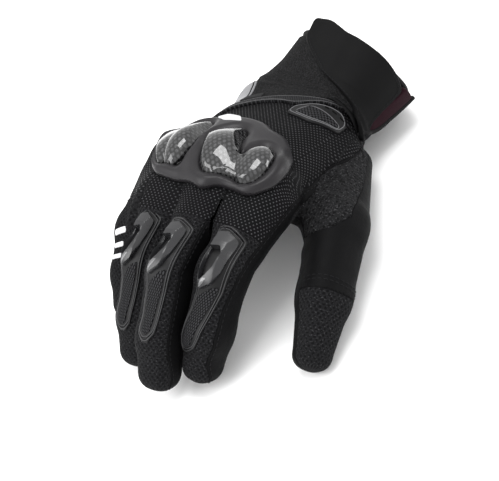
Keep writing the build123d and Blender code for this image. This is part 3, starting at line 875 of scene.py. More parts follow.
def skin_fields(p, normal):
    """What the panels are cut along: see the comments beside each."""
    which = nearest_finger(p)
    s, w, h, r = (np.zeros(len(p)) for _ in range(4))
    start, share = np.zeros(len(p)), np.zeros(len(p))
    knuckle, over = np.zeros((len(p), 3)), np.zeros(len(p))
    for k, name in enumerate(NAMES):
        m = which == k
        if not m.any():
            continue
        g = DIGITS[name]
        s[m], w[m], h[m] = g.frame_of(p[m])
        r[m] = np.interp(s[m], g.starts, g.radii)
        share[m] = s[m] / g.starts[-1]
        over[m] = g.arc(p[m], s[m])
        start[m] = bend_start(name)
        knuckle[m] = g.points[0]
    outer, inner = (np.interp(share, *zip(*rows)) for rows in (SEAM_AT, INNER_SEAM_AT))
    thumbward = np.where(which == 0, outer, inner)
    level = 0.35 + (thumbward - 0.35) * step01(w / np.maximum(r, 5), -0.3, 0.35)
    seam_z = np.where(p[:, 0] > 0, np.interp(p[:, 1], [0, 20, 40, 70], [-7, -6.5, -4.3, -5.0]), -6.0)
    front = step01(s, -4, 10)
    back = (1 - front) * (p[:, 2] - seam_z) + front * (h - level * r)  # height over the side seam
    ts, tw, th = THUMB.frame_of(p)
    tr = np.interp(ts, THUMB.starts, THUMB.radii)
    thumb = thumb_form(p) - np.minimum(hand_form(p), digit_form(p, DIGITS["index"]))
    edge = ts - np.interp(tw / tr, [-1.1, -0.7, -0.14, 0.22, 0.45], [54, 52, 44, 22, -20])
    inset = np.interp(p[:, 1], [2, 28], [9.0, 0.6]) * (1 - step01(p[:, 0], 44, 53))
    mesh_base = np.minimum(np.minimum(-back - inset, -0.6 * edge), th + 0.45 * tr)  # the thumb's fabric panel
    tip = np.minimum(ts - 80.5, th + 0.1 * tr)  # the thumb tip's fabric panel
    collar = p[:, 1] - np.interp(p[:, 0], *zip(*COLLAR))
    # cloth coordinates
    flat = np.abs(p[:, 0]) - 12 * np.abs(normal[:, 0])
    u = np.sign(p[:, 0]) * (flat + 12 * np.arcsin(np.clip(np.abs(normal[:, 0]), 0, 1)))
    arc = np.maximum(r, 5) * np.arctan2(w, h)
    bend = np.radians([FINGERS[n][2][0] for n in NAMES])[which]
    fu, fv = knuckle[:, 0] + arc, knuckle[:, 1] - over - 11 * bend
    blend = step01(s, -6, 8)
    uv = np.stack([(1 - blend) * u + blend * fu, (1 - blend) * p[:, 1] + blend * fv], 1)
    on_thumb = step01(-thumb, -2, 3)[:, None]
    thumb_uv = np.stack([np.maximum(tr, 6) * np.arctan2(tw, th), -THUMB.arc(p, ts)], 1)
    uv = np.where(on_thumb > 0.5, thumb_uv, uv)
    gaps = {f"gap{k}": p[:, 0] - (line_x(a, p[:, 1]) + line_x(b, p[:, 1])) / 2
            for k, (a, b) in enumerate(zip(NAMES, NAMES[1:]))}
    return dict(s=s - start, **gaps, finger=which.astype(float), back=back, thumb=thumb, ts=ts,
                mesh_base=mesh_base, tip=tip, collar=collar, palm=-(h + 0.55 * r), uv=uv, n=normal, th=th / tr)


def sewn(form, low, high, voxel, cuts):
    """A meshed form with its fields, cut and grooved along its seams."""
    v, t = mesh_form(form, low, high, voxel)
    skin = Skin(v, t, **skin_fields(v, gradient(form, v)))
    for name, levels in cuts:
        skin.cut(name, *levels)
    return skin


def sink(skin, name, where=True):
    """Presses a seam in along the zero line of a field that was cut there."""
    on = skin.on_level(name, 0.0) & where
    skin.v = skin.v - np.where(on, GROOVE_DEPTH, 0.0)[:, None] * skin.f["n"]


def panel(skin, name, cloth, faces, node=None, slot=None, **how):
    """A piece of cloth: some of a skin's faces."""
    if not faces.any():
        return None
    o = make(name, skin.v, skin.t[faces], M[cloth], uv=skin.f["uv"], normals=skin.smooth, **how)
    return stands_for(o, node, slot)


def sew(skin, name, field, level, keep, **how):
    """Stitches along a level line of the skin."""
    parts = []
    for line in skin.lines(field, level, keep):
        parts += stitches(skin.v[line], skin.f["n"][line], 2.6, 0.68 * 2.6, 0.42, 0.12)
    if parts:
        make(name, *join(parts), M["thread"], **how)


def cord_along(skin, name, field, level, keep, radius, lift):
    """A thin cord (piping) along a level line of the skin."""
    lines = (resample(skin.v[line], 1.2, skin.f["n"][line]) for line in skin.lines(field, level, keep))
    make(name, *join([tube(p, n, radius, 8, lift=lift) for p, n in lines]), M["binding"])


hand = sewn(glove_form, (-50, -44, -78), (92, 78, 24), 1.15, (
    ("back", SEAM), ("mesh_base", SEAM), ("tip", SEAM), ("collar", (-GROOVE, 0.0)), ("thumb", (0.0,)), *GAPS,
    ("s", (0.0,)), ("ts", (38.0, 62.0, 72.5, 76.0, 78.0)), ("back", (1.3, 2.9, -1.3)), ("mesh_base", (-1.3,)),
    ("palm", (0.0,)),
))
f = hand.f
on_thumb_v = (f["thumb"] < 0.01) & (f["ts"] > 36)
sink(hand, "back", where=(f["collar"] < 0.5) & ~on_thumb_v)
sink(hand, "mesh_base", where=(f["back"] < 0.2) & (f["thumb"] < 6) & (f["collar"] < 3))
sink(hand, "tip", where=on_thumb_v)
wrinkle = 0.3 * np.sin(0.55 * f["ts"]) * np.exp(-((f["ts"] - 58) / 8.0) ** 2) * (f["thumb"] < 0)
hand.v = hand.v + (wrinkle * step01(-f["th"], -0.2, 0.6))[:, None] * f["n"]
hand.smooth = vertex_normals(hand.v, hand.t)
at = {k: hand.at_faces(k) for k in ("back", "thumb", "ts", "mesh_base", "tip", "collar")}
centre = hand.v[hand.t].mean(1)
past = past_start(centre)[1]
sleeve = (at["thumb"] < 0) & (at["ts"] > 38)
rest = ~sleeve & ~((at["thumb"] >= 0) & (past > 0)) & (centre[:, 1] < 76)
fabric = at["mesh_base"] > 0
dorsal = at["back"] > 0
collar = (at["collar"] > 0) & dorsal
for name, cloth, faces, node, slot in (
        ("hand_back_fabric", "dotted", dorsal & ~collar, ("back_panel", "finger_webs"), "fabric_back"),
        ("hand_collar_pile", "pile", collar, None, "loop"),
        ("hand_palm_leather", "leather", ~dorsal & ~fabric,
         ("palm_panel", "hand_lining", "thumb_base_palm"), "leather"),
        ("thumb_base_fabric", "thumb_mesh", ~dorsal & fabric, "thumb_base_back", "fabric_mesh")):
    panel(hand, name, cloth, rest & faces, node, slot)


def on_bone(g, k, s):
    return g.points[k] + (s - g.starts[k]) * g.along[k]


thumb_a = ("hand", "thumb_root", on_bone(THUMB, 0, 38.0), on_bone(THUMB, 1, 51.0))
thumb_b = ("thumb_root", "thumb_tip", on_bone(THUMB, 1, 72.0), on_bone(THUMB, 2, 89.0))
for part, faces, woven, cloth, how in (
        ("root", sleeve & (at["ts"] < 62), fabric, "thumb_mesh", thumb_a),
        ("tip", sleeve & (at["ts"] >= 62), at["tip"] > 0, "tip_mesh", thumb_b)):
    panel(hand, f"thumb_{part}_fabric", cloth, faces & woven, f"thumb_{part}_back", "fabric_mesh", blend=how)
    panel(hand, f"thumb_{part}_leather", "leather", faces & ~woven, f"thumb_{part}_palm", "leather", blend=how)
keep = (f["s"] < 0.1) & (f["collar"] < 0) & (f["thumb"] > -1)
sew(hand, "back_seam_stitches", "back", -1.3, keep)
sew(hand, "collar_stitches", "collar", -GROOVE, f["back"] > 0.5)
cord_along(hand, "wrist_piping", "collar", 0.0, f["back"] > 0, 0.85, 0.25)
for k, level in enumerate((76.0, 78.0)):
    sew(hand, f"thumb_joint_stitches_{k}", "ts", level, (f["thumb"] < -1) & (f["th"] > 0.0), blend=thumb_b)


def finger_blends(name):
    """Bodies and bone points on either side of a joint, for the cloth of a finger's base and of its stall; make()
    leaves such pieces in place, not blended.
    """
    g, root, start = DIGITS[name], f"{name}_root", bend_start(name)
    joint, reach = g.starts[1], 9
    return (("hand", root, on_bone(g, 0, start), on_bone(g, 0, start + 10)),
            (root, f"{name}_tip", on_bone(g, 0, joint - reach), on_bone(g, 1, joint + reach)))


for k, name in enumerate(NAMES):
    g = DIGITS[name]
    lows = np.min(g.points, 0) - 15
    highs = np.max(g.points, 0) + 15
    highs[1] = g.points[0][1] + 2
    fskin = sewn(lambda p: glove_form(p, name), lows, highs, 1.1, (
        ("back", SEAM), *GAPS, ("s", (0.0, SLEEVE, SLEEVE + 1.6)), ("back", (1.4, -1.4)), ("palm", SEAM)))
    ff = fskin.f
    sink(fskin, "back")
    sink(fskin, "palm", ff["s"] > 1)
    seam_in = np.exp(-((ff["s"] - SLEEVE) / 0.5) ** 2) * (ff["back"] > 0)
    fskin.v = fskin.v - (0.35 * seam_in)[:, None] * ff["n"]
    fskin.smooth = vertex_normals(fskin.v, fskin.t)
    who, s_at = past_start(fskin.v[fskin.t].mean(1))
    own, top, under = (who == k) & (s_at > 0), fskin.at_faces("back") > 0, fskin.at_faces("palm") >= 0
    first, second = finger_blends(name)
    woven = "mesh" if name == "little" else "tip_mesh"
    for part, faces, how, cloth, body, slot in (
            ("base", own & (s_at < SLEEVE), first, "dotted", "root", "fabric_back"),
            ("stall", own & (s_at >= SLEEVE), second, woven, "tip", "fabric_mesh")):
        low_side = (part == "stall") or not (faces & ~top & under).any()
        node = f"{name}_{body}_palm"
        panel(fskin, f"{name}_{part}_back", cloth, faces & top, f"{name}_{body}_back", slot, blend=how)
        panel(fskin, f"{name}_{part}_side", "leather", faces & ~top & ~under, node if low_side else None,
              "leather", blend=how)
        panel(fskin, f"{name}_{part}_palm", "suede", faces & ~top & under, None if low_side else node,
              "leather", blend=how)
    mine = np.abs(ff["finger"] - k) < 0.01
    sew(fskin, f"{name}_base_stitches", "back", -1.4, mine & (ff["s"] > 0) & (ff["s"] < SLEEVE), blend=first)
    sew(fskin, f"{name}_side_stitches", "back", -1.4, mine & (ff["s"] > SLEEVE), blend=second)
    sew(fskin, f"{name}_cross_stitches", "s", SLEEVE + 1.6, mine & (ff["back"] > 0.5), blend=second)

# ---------------------------------------------------------------- carriers: surfaces that plates are laid on
GRID = 1.0
GRID_LOW, GRID_HIGH = np.array([-48.0, -40.0]), np.array([60.0, 84.0])


def blurred(a, sigma):
    k = np.exp(-0.5 * (np.arange(-12, 13) * GRID / sigma) ** 2)
    k /= k.sum()
    for axis in (0, 1):
        a = np.apply_along_axis(lambda row: np.convolve(np.pad(row, 12, mode="edge"), k, "valid"), axis, a)
    return a


class Carrier:
    """The back (or the palm) of the hand as a height field, smoothed as a stiff piece laid on it would be."""

    def __init__(self, sign, sigma, lowest):
        n = ((GRID_HIGH - GRID_LOW) / GRID).astype(int) + 1
        x, y = np.meshgrid(*(low + GRID * np.arange(k) for low, k in zip(GRID_LOW, n)), indexing="ij")
        p = np.stack([x.ravel(), y.ravel(), np.full(x.size, sign * 40.0)], 1)
        for _ in range(70):
            d = glove_form(p)
            p[:, 2] = np.maximum(sign * p[:, 2] - np.maximum(0.8 * d, 0), lowest) * sign
            if np.abs(d).max() < 0.05:
                break
        self.sign = sign
        self.z = blurred(p[:, 2].reshape(x.shape), sigma)

    def read(self, a, x, y):
        i = np.clip((x - GRID_LOW[0]) / GRID, 0, a.shape[0] - 1.001)
        j = np.clip((y - GRID_LOW[1]) / GRID, 0, a.shape[1] - 1.001)
        i0, j0 = i.astype(int), j.astype(int)
        u, w = i - i0, j - j0
        return ((1 - u) * (1 - w) * a[i0, j0] + u * (1 - w) * a[i0 + 1, j0]
                + (1 - u) * w * a[i0, j0 + 1] + u * w * a[i0 + 1, j0 + 1])

    def place(self, x, y, h):
        z = self.read(self.z, x, y)
        gx = (self.read(self.z, x + 1, y) - self.read(self.z, x - 1, y)) / 2
        gy = (self.read(self.z, x, y + 1) - self.read(self.z, x, y - 1)) / 2
        n = units(np.stack([-gx, -gy, np.ones_like(gx)], 1)) * self.sign
        return np.stack([x, y, z], 1) + np.asarray(h)[:, None] * n


def raised(x, y, h):
    """The back of the hand, with positions counted where a plate's upper edge is, not where it touches."""
    a, b = BACK.place(x, y, np.zeros(len(x))), BACK.place(x, y, np.ones(len(x)))
    n = b - a
    return BACK.place(x - 3.0 * n[:, 0], y - 3.0 * n[:, 1], h)


BACK = Carrier(1, 3.0, -12.0)
CLOSE = Carrier(1, 1.2, -14.0)
PALM = Carrier(-1, 2.5, 10.0)


# ---------------------------------------------------------------- knuckle guard and its carbon shells
GUARD = rounded([
    (-34, 8), (-29, -3), (-23.5, -10), (-18, -14.5), (-12, -16), (-6.5, -16.8), (0, -17.4), (7, -19),
    (12, -20.3), (16, -19.6), (21, -16.6), (27, -15.6), (34, -16), (40, -13), (44.8, -6), (45.6, 3.6),
    (41, 14), (34.5, 21.5), (29.5, 24.8), (22.5, 26.2), (16, 29.5), (7, 31), (-3, 30), (-12, 29),
    (-22, 28.5), (-31, 23), (-35, 15)])
THUMB_SIDE = rounded([
    (-0.8, 13), (-1.8, 7), (1.6, -1), (5.2, -9), (10, -13.6), (15, -13.6), (21, -12), (25.5, -11.8),
    (30, -12.6), (35, -10.8), (38.8, -6), (39.4, 0), (36, 7.5), (30, 11.4), (26.8, 10.4), (25.2, 6.6),
    (22.6, -0.4), (19.0, 5), (15.6, 11), (13.6, 17.0), (9.8, 20), (4.4, 18.6)])
LITTLE_SIDE = rounded([
    (-9, 20.5), (-7.4, 10.5), (-5.2, 0), (-5.4, -6), (-6, -10.8), (-12, -10.6), (-19.5, -9.6),
    (-25.8, -3.4), (-29.8, 5), (-29, 14), (-25.5, 20.5), (-18.5, 23.8), (-12, 23.6)])
INLAY = softened([(-9.5, 25.5), (-3.5, 22.6), (5.5, 24.2), (2.2, 28.2), (-5.5, 29.2)], 1.0)
# centre, half sizes and rise of each dome; the valley joins the two beside it
DOMES = {"middle": ((10.4, 2.8), (13.8, 18.6), 7.4), "index": ((31.4, -1.8), (9.4, 13.6), 6.0),
         "valley": ((22.0, -7.5), (8.5, 8.5), 4.9),
         "ring": ((-12.4, 6.5), (8.6, 18.5), 6.6), "little": ((-24.5, 4.0), (8.8, 16), 5.2)}


def shell_height(domes, hard):
    """The height of a shell with several domes, meeting in a crease (hard) or a smooth valley."""
    def height(u, w, d):
        out = None
        for name in domes:
            (cx, cy), (a, b), rise = DOMES[name]
            h = rise * np.sqrt(np.clip(1 - ((u - cx) / a) ** 2 - ((w - cy) / b) ** 2, 0, 1))
            out = h if out is None else (np.maximum(out, h) if hard else smooth_max(out, h, 2.2))
        return 0.8 + np.minimum(out, 0.9 + 1.25 * d)
    return height


def frame_height(u, w, d):
    return 1.6 + round_edge(d, 2.4, 2.7) + 0.9 * step01(d, 0.8, 4.0)


lay("knuckle_guard_frame", "guard", GUARD, raised, frame_height, 0.7, "knuckle_guard", "guard", True,
    (THUMB_SIDE, LITTLE_SIDE), base=0.4)
for side, hole, domes, hard in (("thumb_side", THUMB_SIDE, ("middle", "index", "valley"), False),
                                ("little_side", LITTLE_SIDE, ("ring", "little"), True)):
    lay(f"carbon_dome_{side}", "carbon", offset_loop(hole, 0.9), raised, shell_height(domes, hard), 0.55,
        f"knuckle_shell_{side}", "carbon", True, base=0.3)
foam = lay("knuckle_foam_bed", "foam", offset_loop(GUARD, -1.2), raised, domed(-1.0, 1.2, 2.2), 1.0,
           "knuckle_foam", "foam", base=-1.6)
lay("guard_inlay", "pale", INLAY, raised, domed(5.25, 0.4, 0.3), 0.5, "guard_emblem", "emblem", base=4.6)
stitch("guard_stitches", "thread", offset_loop(GUARD, -0.6), CLOSE.place, 0.15, 2.4, 1.6, 0.45, 0.1)


# ---------------------------------------------------------------- finger guards: a hollow block and a scaled tail
# start, end of the block, end; where the middle runs across the finger and how wide it is, at those three
FINGER_GUARDS = {
    "index": ((29.5, 53.0, 79.0), (3.4, 3.2, -2.6), (6.9, 5.0, 2.5)),
    "middle": ((32.5, 55.0, 80.0), (0.7, 0.2, -0.2), (5.3, 4.3, 2.3)),
    "ring": ((29.5, 52.0, 77.0), (-0.4, -0.4, -1.0), (4.9, 4.0, 2.2)),
}


WIDE = 6.0  # outlines give shares of the half width times this, so that one mesh step suits both directions
RIM = 1.5  # how far the soft rim stands out round a guard


class OnFinger:
    """Places (across, along) positions on a finger's surface, counted from the middle of its guard."""

    def __init__(self, name):
        self.g = DIGITS[name]
        self.stations, self.middle, self.half = FINGER_GUARDS.get(name, ((0, 1, 2), (0, 0, 0), (5, 5, 5)))

    def place(self, u, s, h):
        c, back, side = self.g.at(s)
        r = np.interp(s, self.g.s, self.g.radius) + 1.0
        a = u / r
        ray = np.cos(a)[:, None] * back + np.sin(a)[:, None] * side
        t = r.copy()
        for _ in range(10):
            t = np.clip(t - 0.9 * digit_form(c + t[:, None] * ray, self.g), 2, 20)
        return c + (t + h)[:, None] * ray

    def wide(self, u, s, h):
        """The same with u in shares of the guard's half width, times WIDE."""
        u = u / WIDE
        middle = np.interp(s, self.stations, self.middle)
        half = np.interp(s, self.stations, self.half)
        start, _, end = self.stations
        bow = 0.3 * np.sin(np.pi * np.clip((s - start) / (end - start), 0, 1))
        return self.place(middle + bow + u * half, s, h)


def guard_outline(g):
    """Outline of a finger guard with its rim, as (share of half width, distance along)."""
    a, b, c = g.stations
    w = [1 + RIM / x for x in g.half]
    pts = [(-w[0], a - RIM), (-0.2, a - 0.9 - RIM), (w[0] * 0.98, a + 2.6 - RIM * 0.6), (w[0] * 1.04, a + 4.5),
           (w[0], (a + b) / 2), (w[1], b), (w[2], c - 2.0), (0.35 * w[2], c + RIM), (-0.4 * w[2], c + 0.3 + RIM),
           (-w[2], c - 1.0), (-w[1], b), (-w[0], (a + b) / 2)]
    return widened(softened(pts, 0.4, 4))


def widened(loop):
    loop = np.asarray(loop, float)
    return np.stack([loop[:, 0] * WIDE, loop[:, 1]], 1)


def rim_height(u, w, d):
    return 0.2 + round_edge(d, 0.4, 0.6) - 0.45 * step01(d, 0.9, 1.2) + 0.55 * step01(d, 1.7, 2.0)


def roof(a, b):
    """The height of a guard's block: a top facet and facets falling to the side, the front and the back."""
    def height(u, w, d):
        x, y = u / WIDE, (w - a) / (b - a)
        top = 4.4 - 2.0 * np.clip(0.3 - y, 0, 1) / 0.3
        right = 4.4 - 4.2 * np.clip(x - 0.22 + 0.35 * np.clip(y - 0.3, 0, 1), 0, 1)
        low = 4.4 - 3.0 * np.clip(y - 0.5, 0, 1)
        return np.maximum(np.minimum(np.minimum(np.minimum(top, right), low), 1.1 + 9.0 * d), 1.1)
    return height


# outlines on a guard's block: (share of the half width, share of the block's length)
BLOCK = ((-0.72, 0.1), (-0.1, 0.05), (0.76, 0.18), (0.8, 0.3), (0.62, 0.72), (0.2, 0.9), (-0.7, 1.02),
         (-0.8, 0.85), (-0.74, 0.4))
WINDOW = ((-0.66, 0.44), (-0.1, 0.4), (0.12, 0.5), (0.0, 0.68), (-0.3, 0.78), (-0.68, 0.86))
# the lip is a raised strip; its light colour is a painted highlight
LIP_HIGHLIGHT_EDGE = ((-0.72, 0.93), (-0.62, 0.86), (-0.26, 0.78), (0.04, 0.68), (0.2, 0.72), (0.1, 0.8), (-0.3, 0.9),
            (-0.7, 1.0))

for name in FINGER_GUARDS:
    g = OnFinger(name)
    a, b, c = g.stations
    outer, how = guard_outline(g), finger_blends(name)[1]
    block, window, lip_highlight = (softened(widened([(x, a + y * (b - a)) for x, y in rows]), r, 3)
                          for rows, r in ((BLOCK, 0.5), (WINDOW, 0.25), (LIP_HIGHLIGHT_EDGE, 0.3)))
    tail = softened(widened([
        (-0.86, b + 3.4), (0.2, b - 1.0), (0.84, b - 2.0), (0.84, b + 6), (0.72, c - 2.6), (0.2, c - 1.2),
        (-0.4, c - 1.0), (-0.76, c - 2.2), (-0.86, b + 8)]), 0.3, 3)
    lay(f"{name}_guard_rim", "rim", outer, g.wide, rim_height, 0.45, None, "finger_guard",
        levels=(0.15, 0.4, 0.9, 1.2, 1.7, 2.0), base=-0.8, blend=how)
    edges = ((offset_loop(outer, -0.75), 0.8), (offset_loop(outer, -2.0), 0.9))
    trace(f"{name}_guard_edge_lines", "edge", edges, g.wide, 0.16, blend=how)
    lay(f"{name}_guard_block_shell", "block", block, g.wide, roof(a, b), 0.35, f"{name}_guard_block",
        "finger_guard", True, (window,), (0.12, 0.4, 0.75), 0.7, blend=how, smooth=False)
    lay(f"{name}_guard_window", "foam", offset_loop(window, 0.5), g.wide, lambda u, w, d: 0.85 + 0 * d, 0.6,
        levels=(0.2,), base=0.5, blend=how)
    # the raised lip, coloured light as a painted highlight
    lay(f"{name}_guard_lip", "lip_highlight", lip_highlight, g.wide, domed(2.6, 0.5, 0.8), 0.35, levels=(0.15, 0.4), base=0.8,
        blend=how)
    lay(f"{name}_guard_scales", "scaled", tail, g.wide, domed(0.9, 0.3, 0.5), 0.45, f"{name}_guard_tail",
        "finger_guard", True, levels=(0.15, 0.4), base=0.5, blend=how)

# plain light stripes on the outer side of the little finger
for k, (s, u) in enumerate(((37.0, -1.6), (42.5, -2.6), (48.0, -3.4))):
    bar = softened([(u - 3.6, s + 2.4), (u + 3.4, s), (u + 3.4, s + 2.2), (u - 3.6, s + 4.6)], 0.4, 3)
    lay(f"little_stripe_{k}", "pale", bar, OnFinger("little").place, domed(0.1, 0.3, 0.2), 0.5, levels=(0.2,),
        base=-0.3, blend=finger_blends("little")[1])

# ---------------------------------------------------------------- wrist badge, trim and tab
BADGE = softened([
    (13.6, 48.8), (13.4, 55.5), (19.5, 61.4), (27.8, 66.0), (32.5, 68.0), (36.4, 64.0), (36.6, 56), (27, 47.6)], 1.5, 4)
INSERT = softened([(17, 50.6), (20.4, 58.6), (34.6, 59.4), (34.6, 56.6), (26.4, 50.2)], 0.6, 4)
TRIM = softened([
    (-30, 41.5), (-23, 46.6), (-14, 50.8), (-2, 55.6), (6, 57.6), (12.4, 57.2), (18.5, 62.8),
    (27, 67.8), (33.6, 72.5), (31.5, 73.2), (24.6, 69.0), (11.0, 64.8), (-2, 60.2), (-14, 55.2),
    (-23, 51.2), (-31, 46.2)], 0.8, 3)
TAB = softened([(-19, 55.5), (-17.4, 60.0), (-8.5, 63.4), (-7.8, 58.6)], 0.5, 3)
lay("wrist_badge_moulding", "rim", BADGE, CLOSE.place, domed(0.7, 0.8, 0.9), 0.6, "wrist_badge",
    "rubber_trim", base=-0.8)
lay("wrist_badge_insert", "scaled", INSERT, CLOSE.place, domed(1.4, 0.6, 0.8), 0.6, "wrist_badge_plate",
    "rubber_trim", True, base=0.6)
edges = ((offset_loop(BADGE, -0.8), 1.65), (offset_loop(INSERT, 0.55), 1.75))
trace("wrist_badge_outline", "pale_thread", edges, CLOSE.place, 0.2)
slots = []
for k in range(4):
    x, y = 26 + 3.4 * k, 62.6 + 0.6 * k
    bar = softened([(x, y), (x + 1.9, y + 0.5), (x + 1.2, y + 1.4), (x - 0.7, y + 0.9)], 0.3, 3)
    slots.append(plate(bar, CLOSE.place, domed(1.7, 0.3, 0.25), 0.4, levels=(0.2,), base=1.2)[:2])
make("wrist_badge_slots", *join(slots), M["foam"])
lay("wrist_trim_rubber", "ribbed", TRIM, CLOSE.place, domed(1.1, 0.5, 0.8), 0.6, "wrist_trim",
    "rubber_trim", True, base=-0.4)
trace("wrist_trim_edge", "edge", ((offset_loop(TRIM, -0.5), 1.75),), CLOSE.place, 0.25)
lay("wrist_tab", "webbing", TAB, CLOSE.place, domed(1.4, 0.4, 0.6), 0.6, base=0.3)

# ---------------------------------------------------------------- palm pads
for name, outline, node, rise, cloth in (
        ("palm_grip_patch", [(-30, 17), (-34, 30), (-14, 33), (10, 35), (22, 27), (25, 9), (0, 5), (-18, 8)],
         "grip_patch", 0.9, "suede"),
        ("palm_heel_pad", [(-30, 40), (-33, 55), (-24, 67), (6, 68), (11, 58), (2, 44), (-14, 38)],
         "heel_pad", 3.0, "pad"),
        ("palm_thumb_patch", [(20, 40), (14, 52), (22, 62), (33, 60), (37, 44), (30, 34)],
         None, 0.9, "suede")):
    loop = softened(outline, 4, 5)
    pad = lay(name, cloth, loop, PALM.place, domed(0.2, 1.2 + rise, rise), 0.9, node, "leather_pad", base=-0.8)
    stitch(f"{name}_stitches", "thread", offset_loop(loop, 1.3), PALM.place, 0.2, 2.8, 1.9, 0.45, 0.1)

# ---------------------------------------------------------------- cuff
YAW, LIFT, LENGTH, TURNED_BY = math.radians(21.0), math.radians(40.0), 50.0, 1.5
# share of the length, half width, half height, how far the section sits towards the back
CUFF = np.array([(0.0, 37.0, 21.25, 0.75), (0.35, 35.0, 18.2, 3.4), (0.7, 34.5, 20.2, 2.3),
                 (1.0, 34.0, 22.4, 1.5), (1.3, 34, 23, 1.2)])
AROUND = 160  # points in a ring round the cuff
SIDEWAYS = 2.0  # how far the mouth sits towards the thumb side


def cuff_path():
    """The cuff's middle line with its directions along, across and out, bending as it leaves the wrist."""
    centre, rows = np.array([2.0, WRIST_Y, -5.0]), []
    for k in range(131):
        at = min(1.0, TURNED_BY * k / 100)
        cy, sy, cl, sl = math.cos(YAW * at), math.sin(YAW * at), math.cos(LIFT * at), math.sin(LIFT * at)
        along = np.array([sy * cl, cy * cl, sl])
        across = np.array([cy, -sy, 0.0])
        rows.append(np.concatenate([centre, along, across, np.cross(across, along)]))
        centre = centre + along * LENGTH / 100
    return np.array(rows)


PATH = cuff_path()


def cuff_place(u, w, h):
    """u round the cuff in mm from the middle of its back, w along it in mm, h out of it."""
    u, w, h = (np.asarray(x, float) for x in (u, w, h))
    share = w / LENGTH
    row = [np.interp(np.clip(share, 0, 1.3) * 100, np.arange(131), PATH[:, i]) for i in range(12)]
    centre, across, out = (np.stack(row[i:i + 3], 1) for i in (0, 6, 9))
    beyond = np.minimum(w, 0) + np.maximum(w - 1.3 * LENGTH, 0)
    centre = centre + beyond[:, None] * np.array([0.0, 1.0, 0.0])
    centre = centre + (SIDEWAYS * step01(share, 0.3, 1.0))[:, None] * across
    half, high, rise = (np.interp(share, CUFF[:, 0], CUFF[:, i]) for i in (1, 2, 3))
    r = 0.92 * high
    flat, side = half - r, high - r
    sign, x = np.sign(u), np.abs(u)
    quarter = r * np.pi / 2
    a = np.clip((x - flat) / r, 0, np.pi / 2)
    b = np.clip((x - flat - quarter - 2 * side) / r, 0, np.pi / 2)
    down = np.clip(x - flat - quarter, 0, 2 * side)
    under = np.clip(x - flat - 2 * quarter - 2 * side, 0, None)
    px = np.minimum(x, flat) + r * np.sin(a) - r * (1 - np.cos(b)) - under
    pz = high - r + r * np.cos(a) - down - r * np.sin(b)
    n = np.stack([np.sin(a + b), np.cos(a + b)], 1)
    slouch = 0.5 * np.sin(0.55 * w + 0.03 * u) * np.exp(-((w - 8) / 9.0) ** 2)
    px, pz = px + (h + slouch) * n[:, 0], pz + (h + slouch) * n[:, 1]
    return centre + (sign * px)[:, None] * across + (pz + rise)[:, None] * out


def half_round(w):
    """Half the way round the cuff at a distance along it."""
    half, high = (np.interp(w / LENGTH, CUFF[:, 0], CUFF[:, i]) for i in (1, 2))
    r = 0.92 * high
    return 2 * (half - r) + np.pi * r + 2 * (high - r)


def cuff_rings(rows, size_at=None, closed=False):
    """Rings round the cuff at (distance along it, height) pairs, each joined to the next."""
    t = np.linspace(-1, 1, AROUND, endpoint=False)
    one = np.ones(AROUND)
    v = np.concatenate([cuff_place(t * half_round(size_at or w), w * one, h * one) for w, h in rows])
    i, j = np.meshgrid(np.arange(len(rows) - (not closed)), np.arange(AROUND), indexing="ij")
    m, n = (i + 1) % len(rows), (j + 1) % AROUND
    return v, np.stack([i * AROUND + j, m * AROUND + j, m * AROUND + n, i * AROUND + n], -1).reshape(-1, 4)


STEPS = 40
v, quads = cuff_rings([(w, 0.0) for w in np.linspace(-1.0, LENGTH, STEPS)])
uv = np.stack([np.tile(np.linspace(-110, 110, AROUND), STEPS),
               np.repeat(np.linspace(0, LENGTH, STEPS), AROUND)], 1)
stands_for(make("cuff_fabric", v, quads[:, ::-1], M["cuff"], uv=uv), "cuff_shell", "fabric_back")
v, quads = cuff_rings([(w, -2.2) for w in np.linspace(4.0, LENGTH + 0.5, STEPS)])
stands_for(make("cuff_lining_cloth", v, quads, M["lining"]), "cuff_lining", "lining")
angles = np.linspace(-0.5 * np.pi, 1.5 * np.pi, 13)[:-1]
roll = [(LENGTH + 1.3 + 1.5 * np.cos(k), -1.1 + 1.6 * np.sin(k)) for k in angles]
v, quads = cuff_rings(roll, LENGTH, True)
stands_for(make("cuff_mouth_binding", v, quads, M["binding"]), "cuff_binding", "binding")
wrist = np.linspace(-1, 1, AROUND + 1) * half_round(0.0)
wrist = wrist[np.abs(wrist) > 46]
for label, part in (("thumb_side", wrist[wrist > 0]), ("little_side", wrist[wrist < 0])):
    low, high = (cuff_place(part, np.full(len(part), 1.5), np.full(len(part), h)) for h in (0.4, 1.4))
    make(f"wrist_cord_{label}", *tube(low, high - low, 1.1), M["binding"])


def loop_place(u, w, h):
    """The back of the wrist: the hand's surface up to its seam, then the cuff's."""
    low = CLOSE.place(u + 2.0, w + WRIST_Y, np.asarray(h) + 0.3)
    t = step01(w, -8, 3)[:, None]
    return (1 - t) * low + t * cuff_place(u, w, h)


LOOP = softened([
    (-19.5, -13), (-20, -4), (-22.5, 4), (-28, 12), (-35, 24), (-35, 46), (-28, 48.2), (30, 48.2),
    (38, 44), (40, 12), (36, 6.5), (31, 5), (23, -1.2), (9, -6), (-4, -9), (-16, -13.8)], 1.2, 4)
LOOP_EDGE = np.array([(-19.5, -13), (-20, -4), (-22.5, 4), (-28, 12), (-35.2, 24), (-35.2, 40), (-34, 48)])
WHITE = softened([
    (-31, -11), (-37, 1), (-46, 6), (-54, 22), (-55, 32), (-48, 34), (-41, 26), (-28, 12), (-22.5, 4),
    (-20, -4), (-19.5, -12)], 1, 4)
lay("cuff_loop_panel", "pile", LOOP, loop_place, domed(0.1, 0.6, 0.8), 1.0, "loop_panel", "loop",
    levels=(0.3, 0.6), base=-0.3)
trace("cuff_loop_edge", "binding", ((LOOP_EDGE, 0.6),), loop_place, 0.7, 8, False)
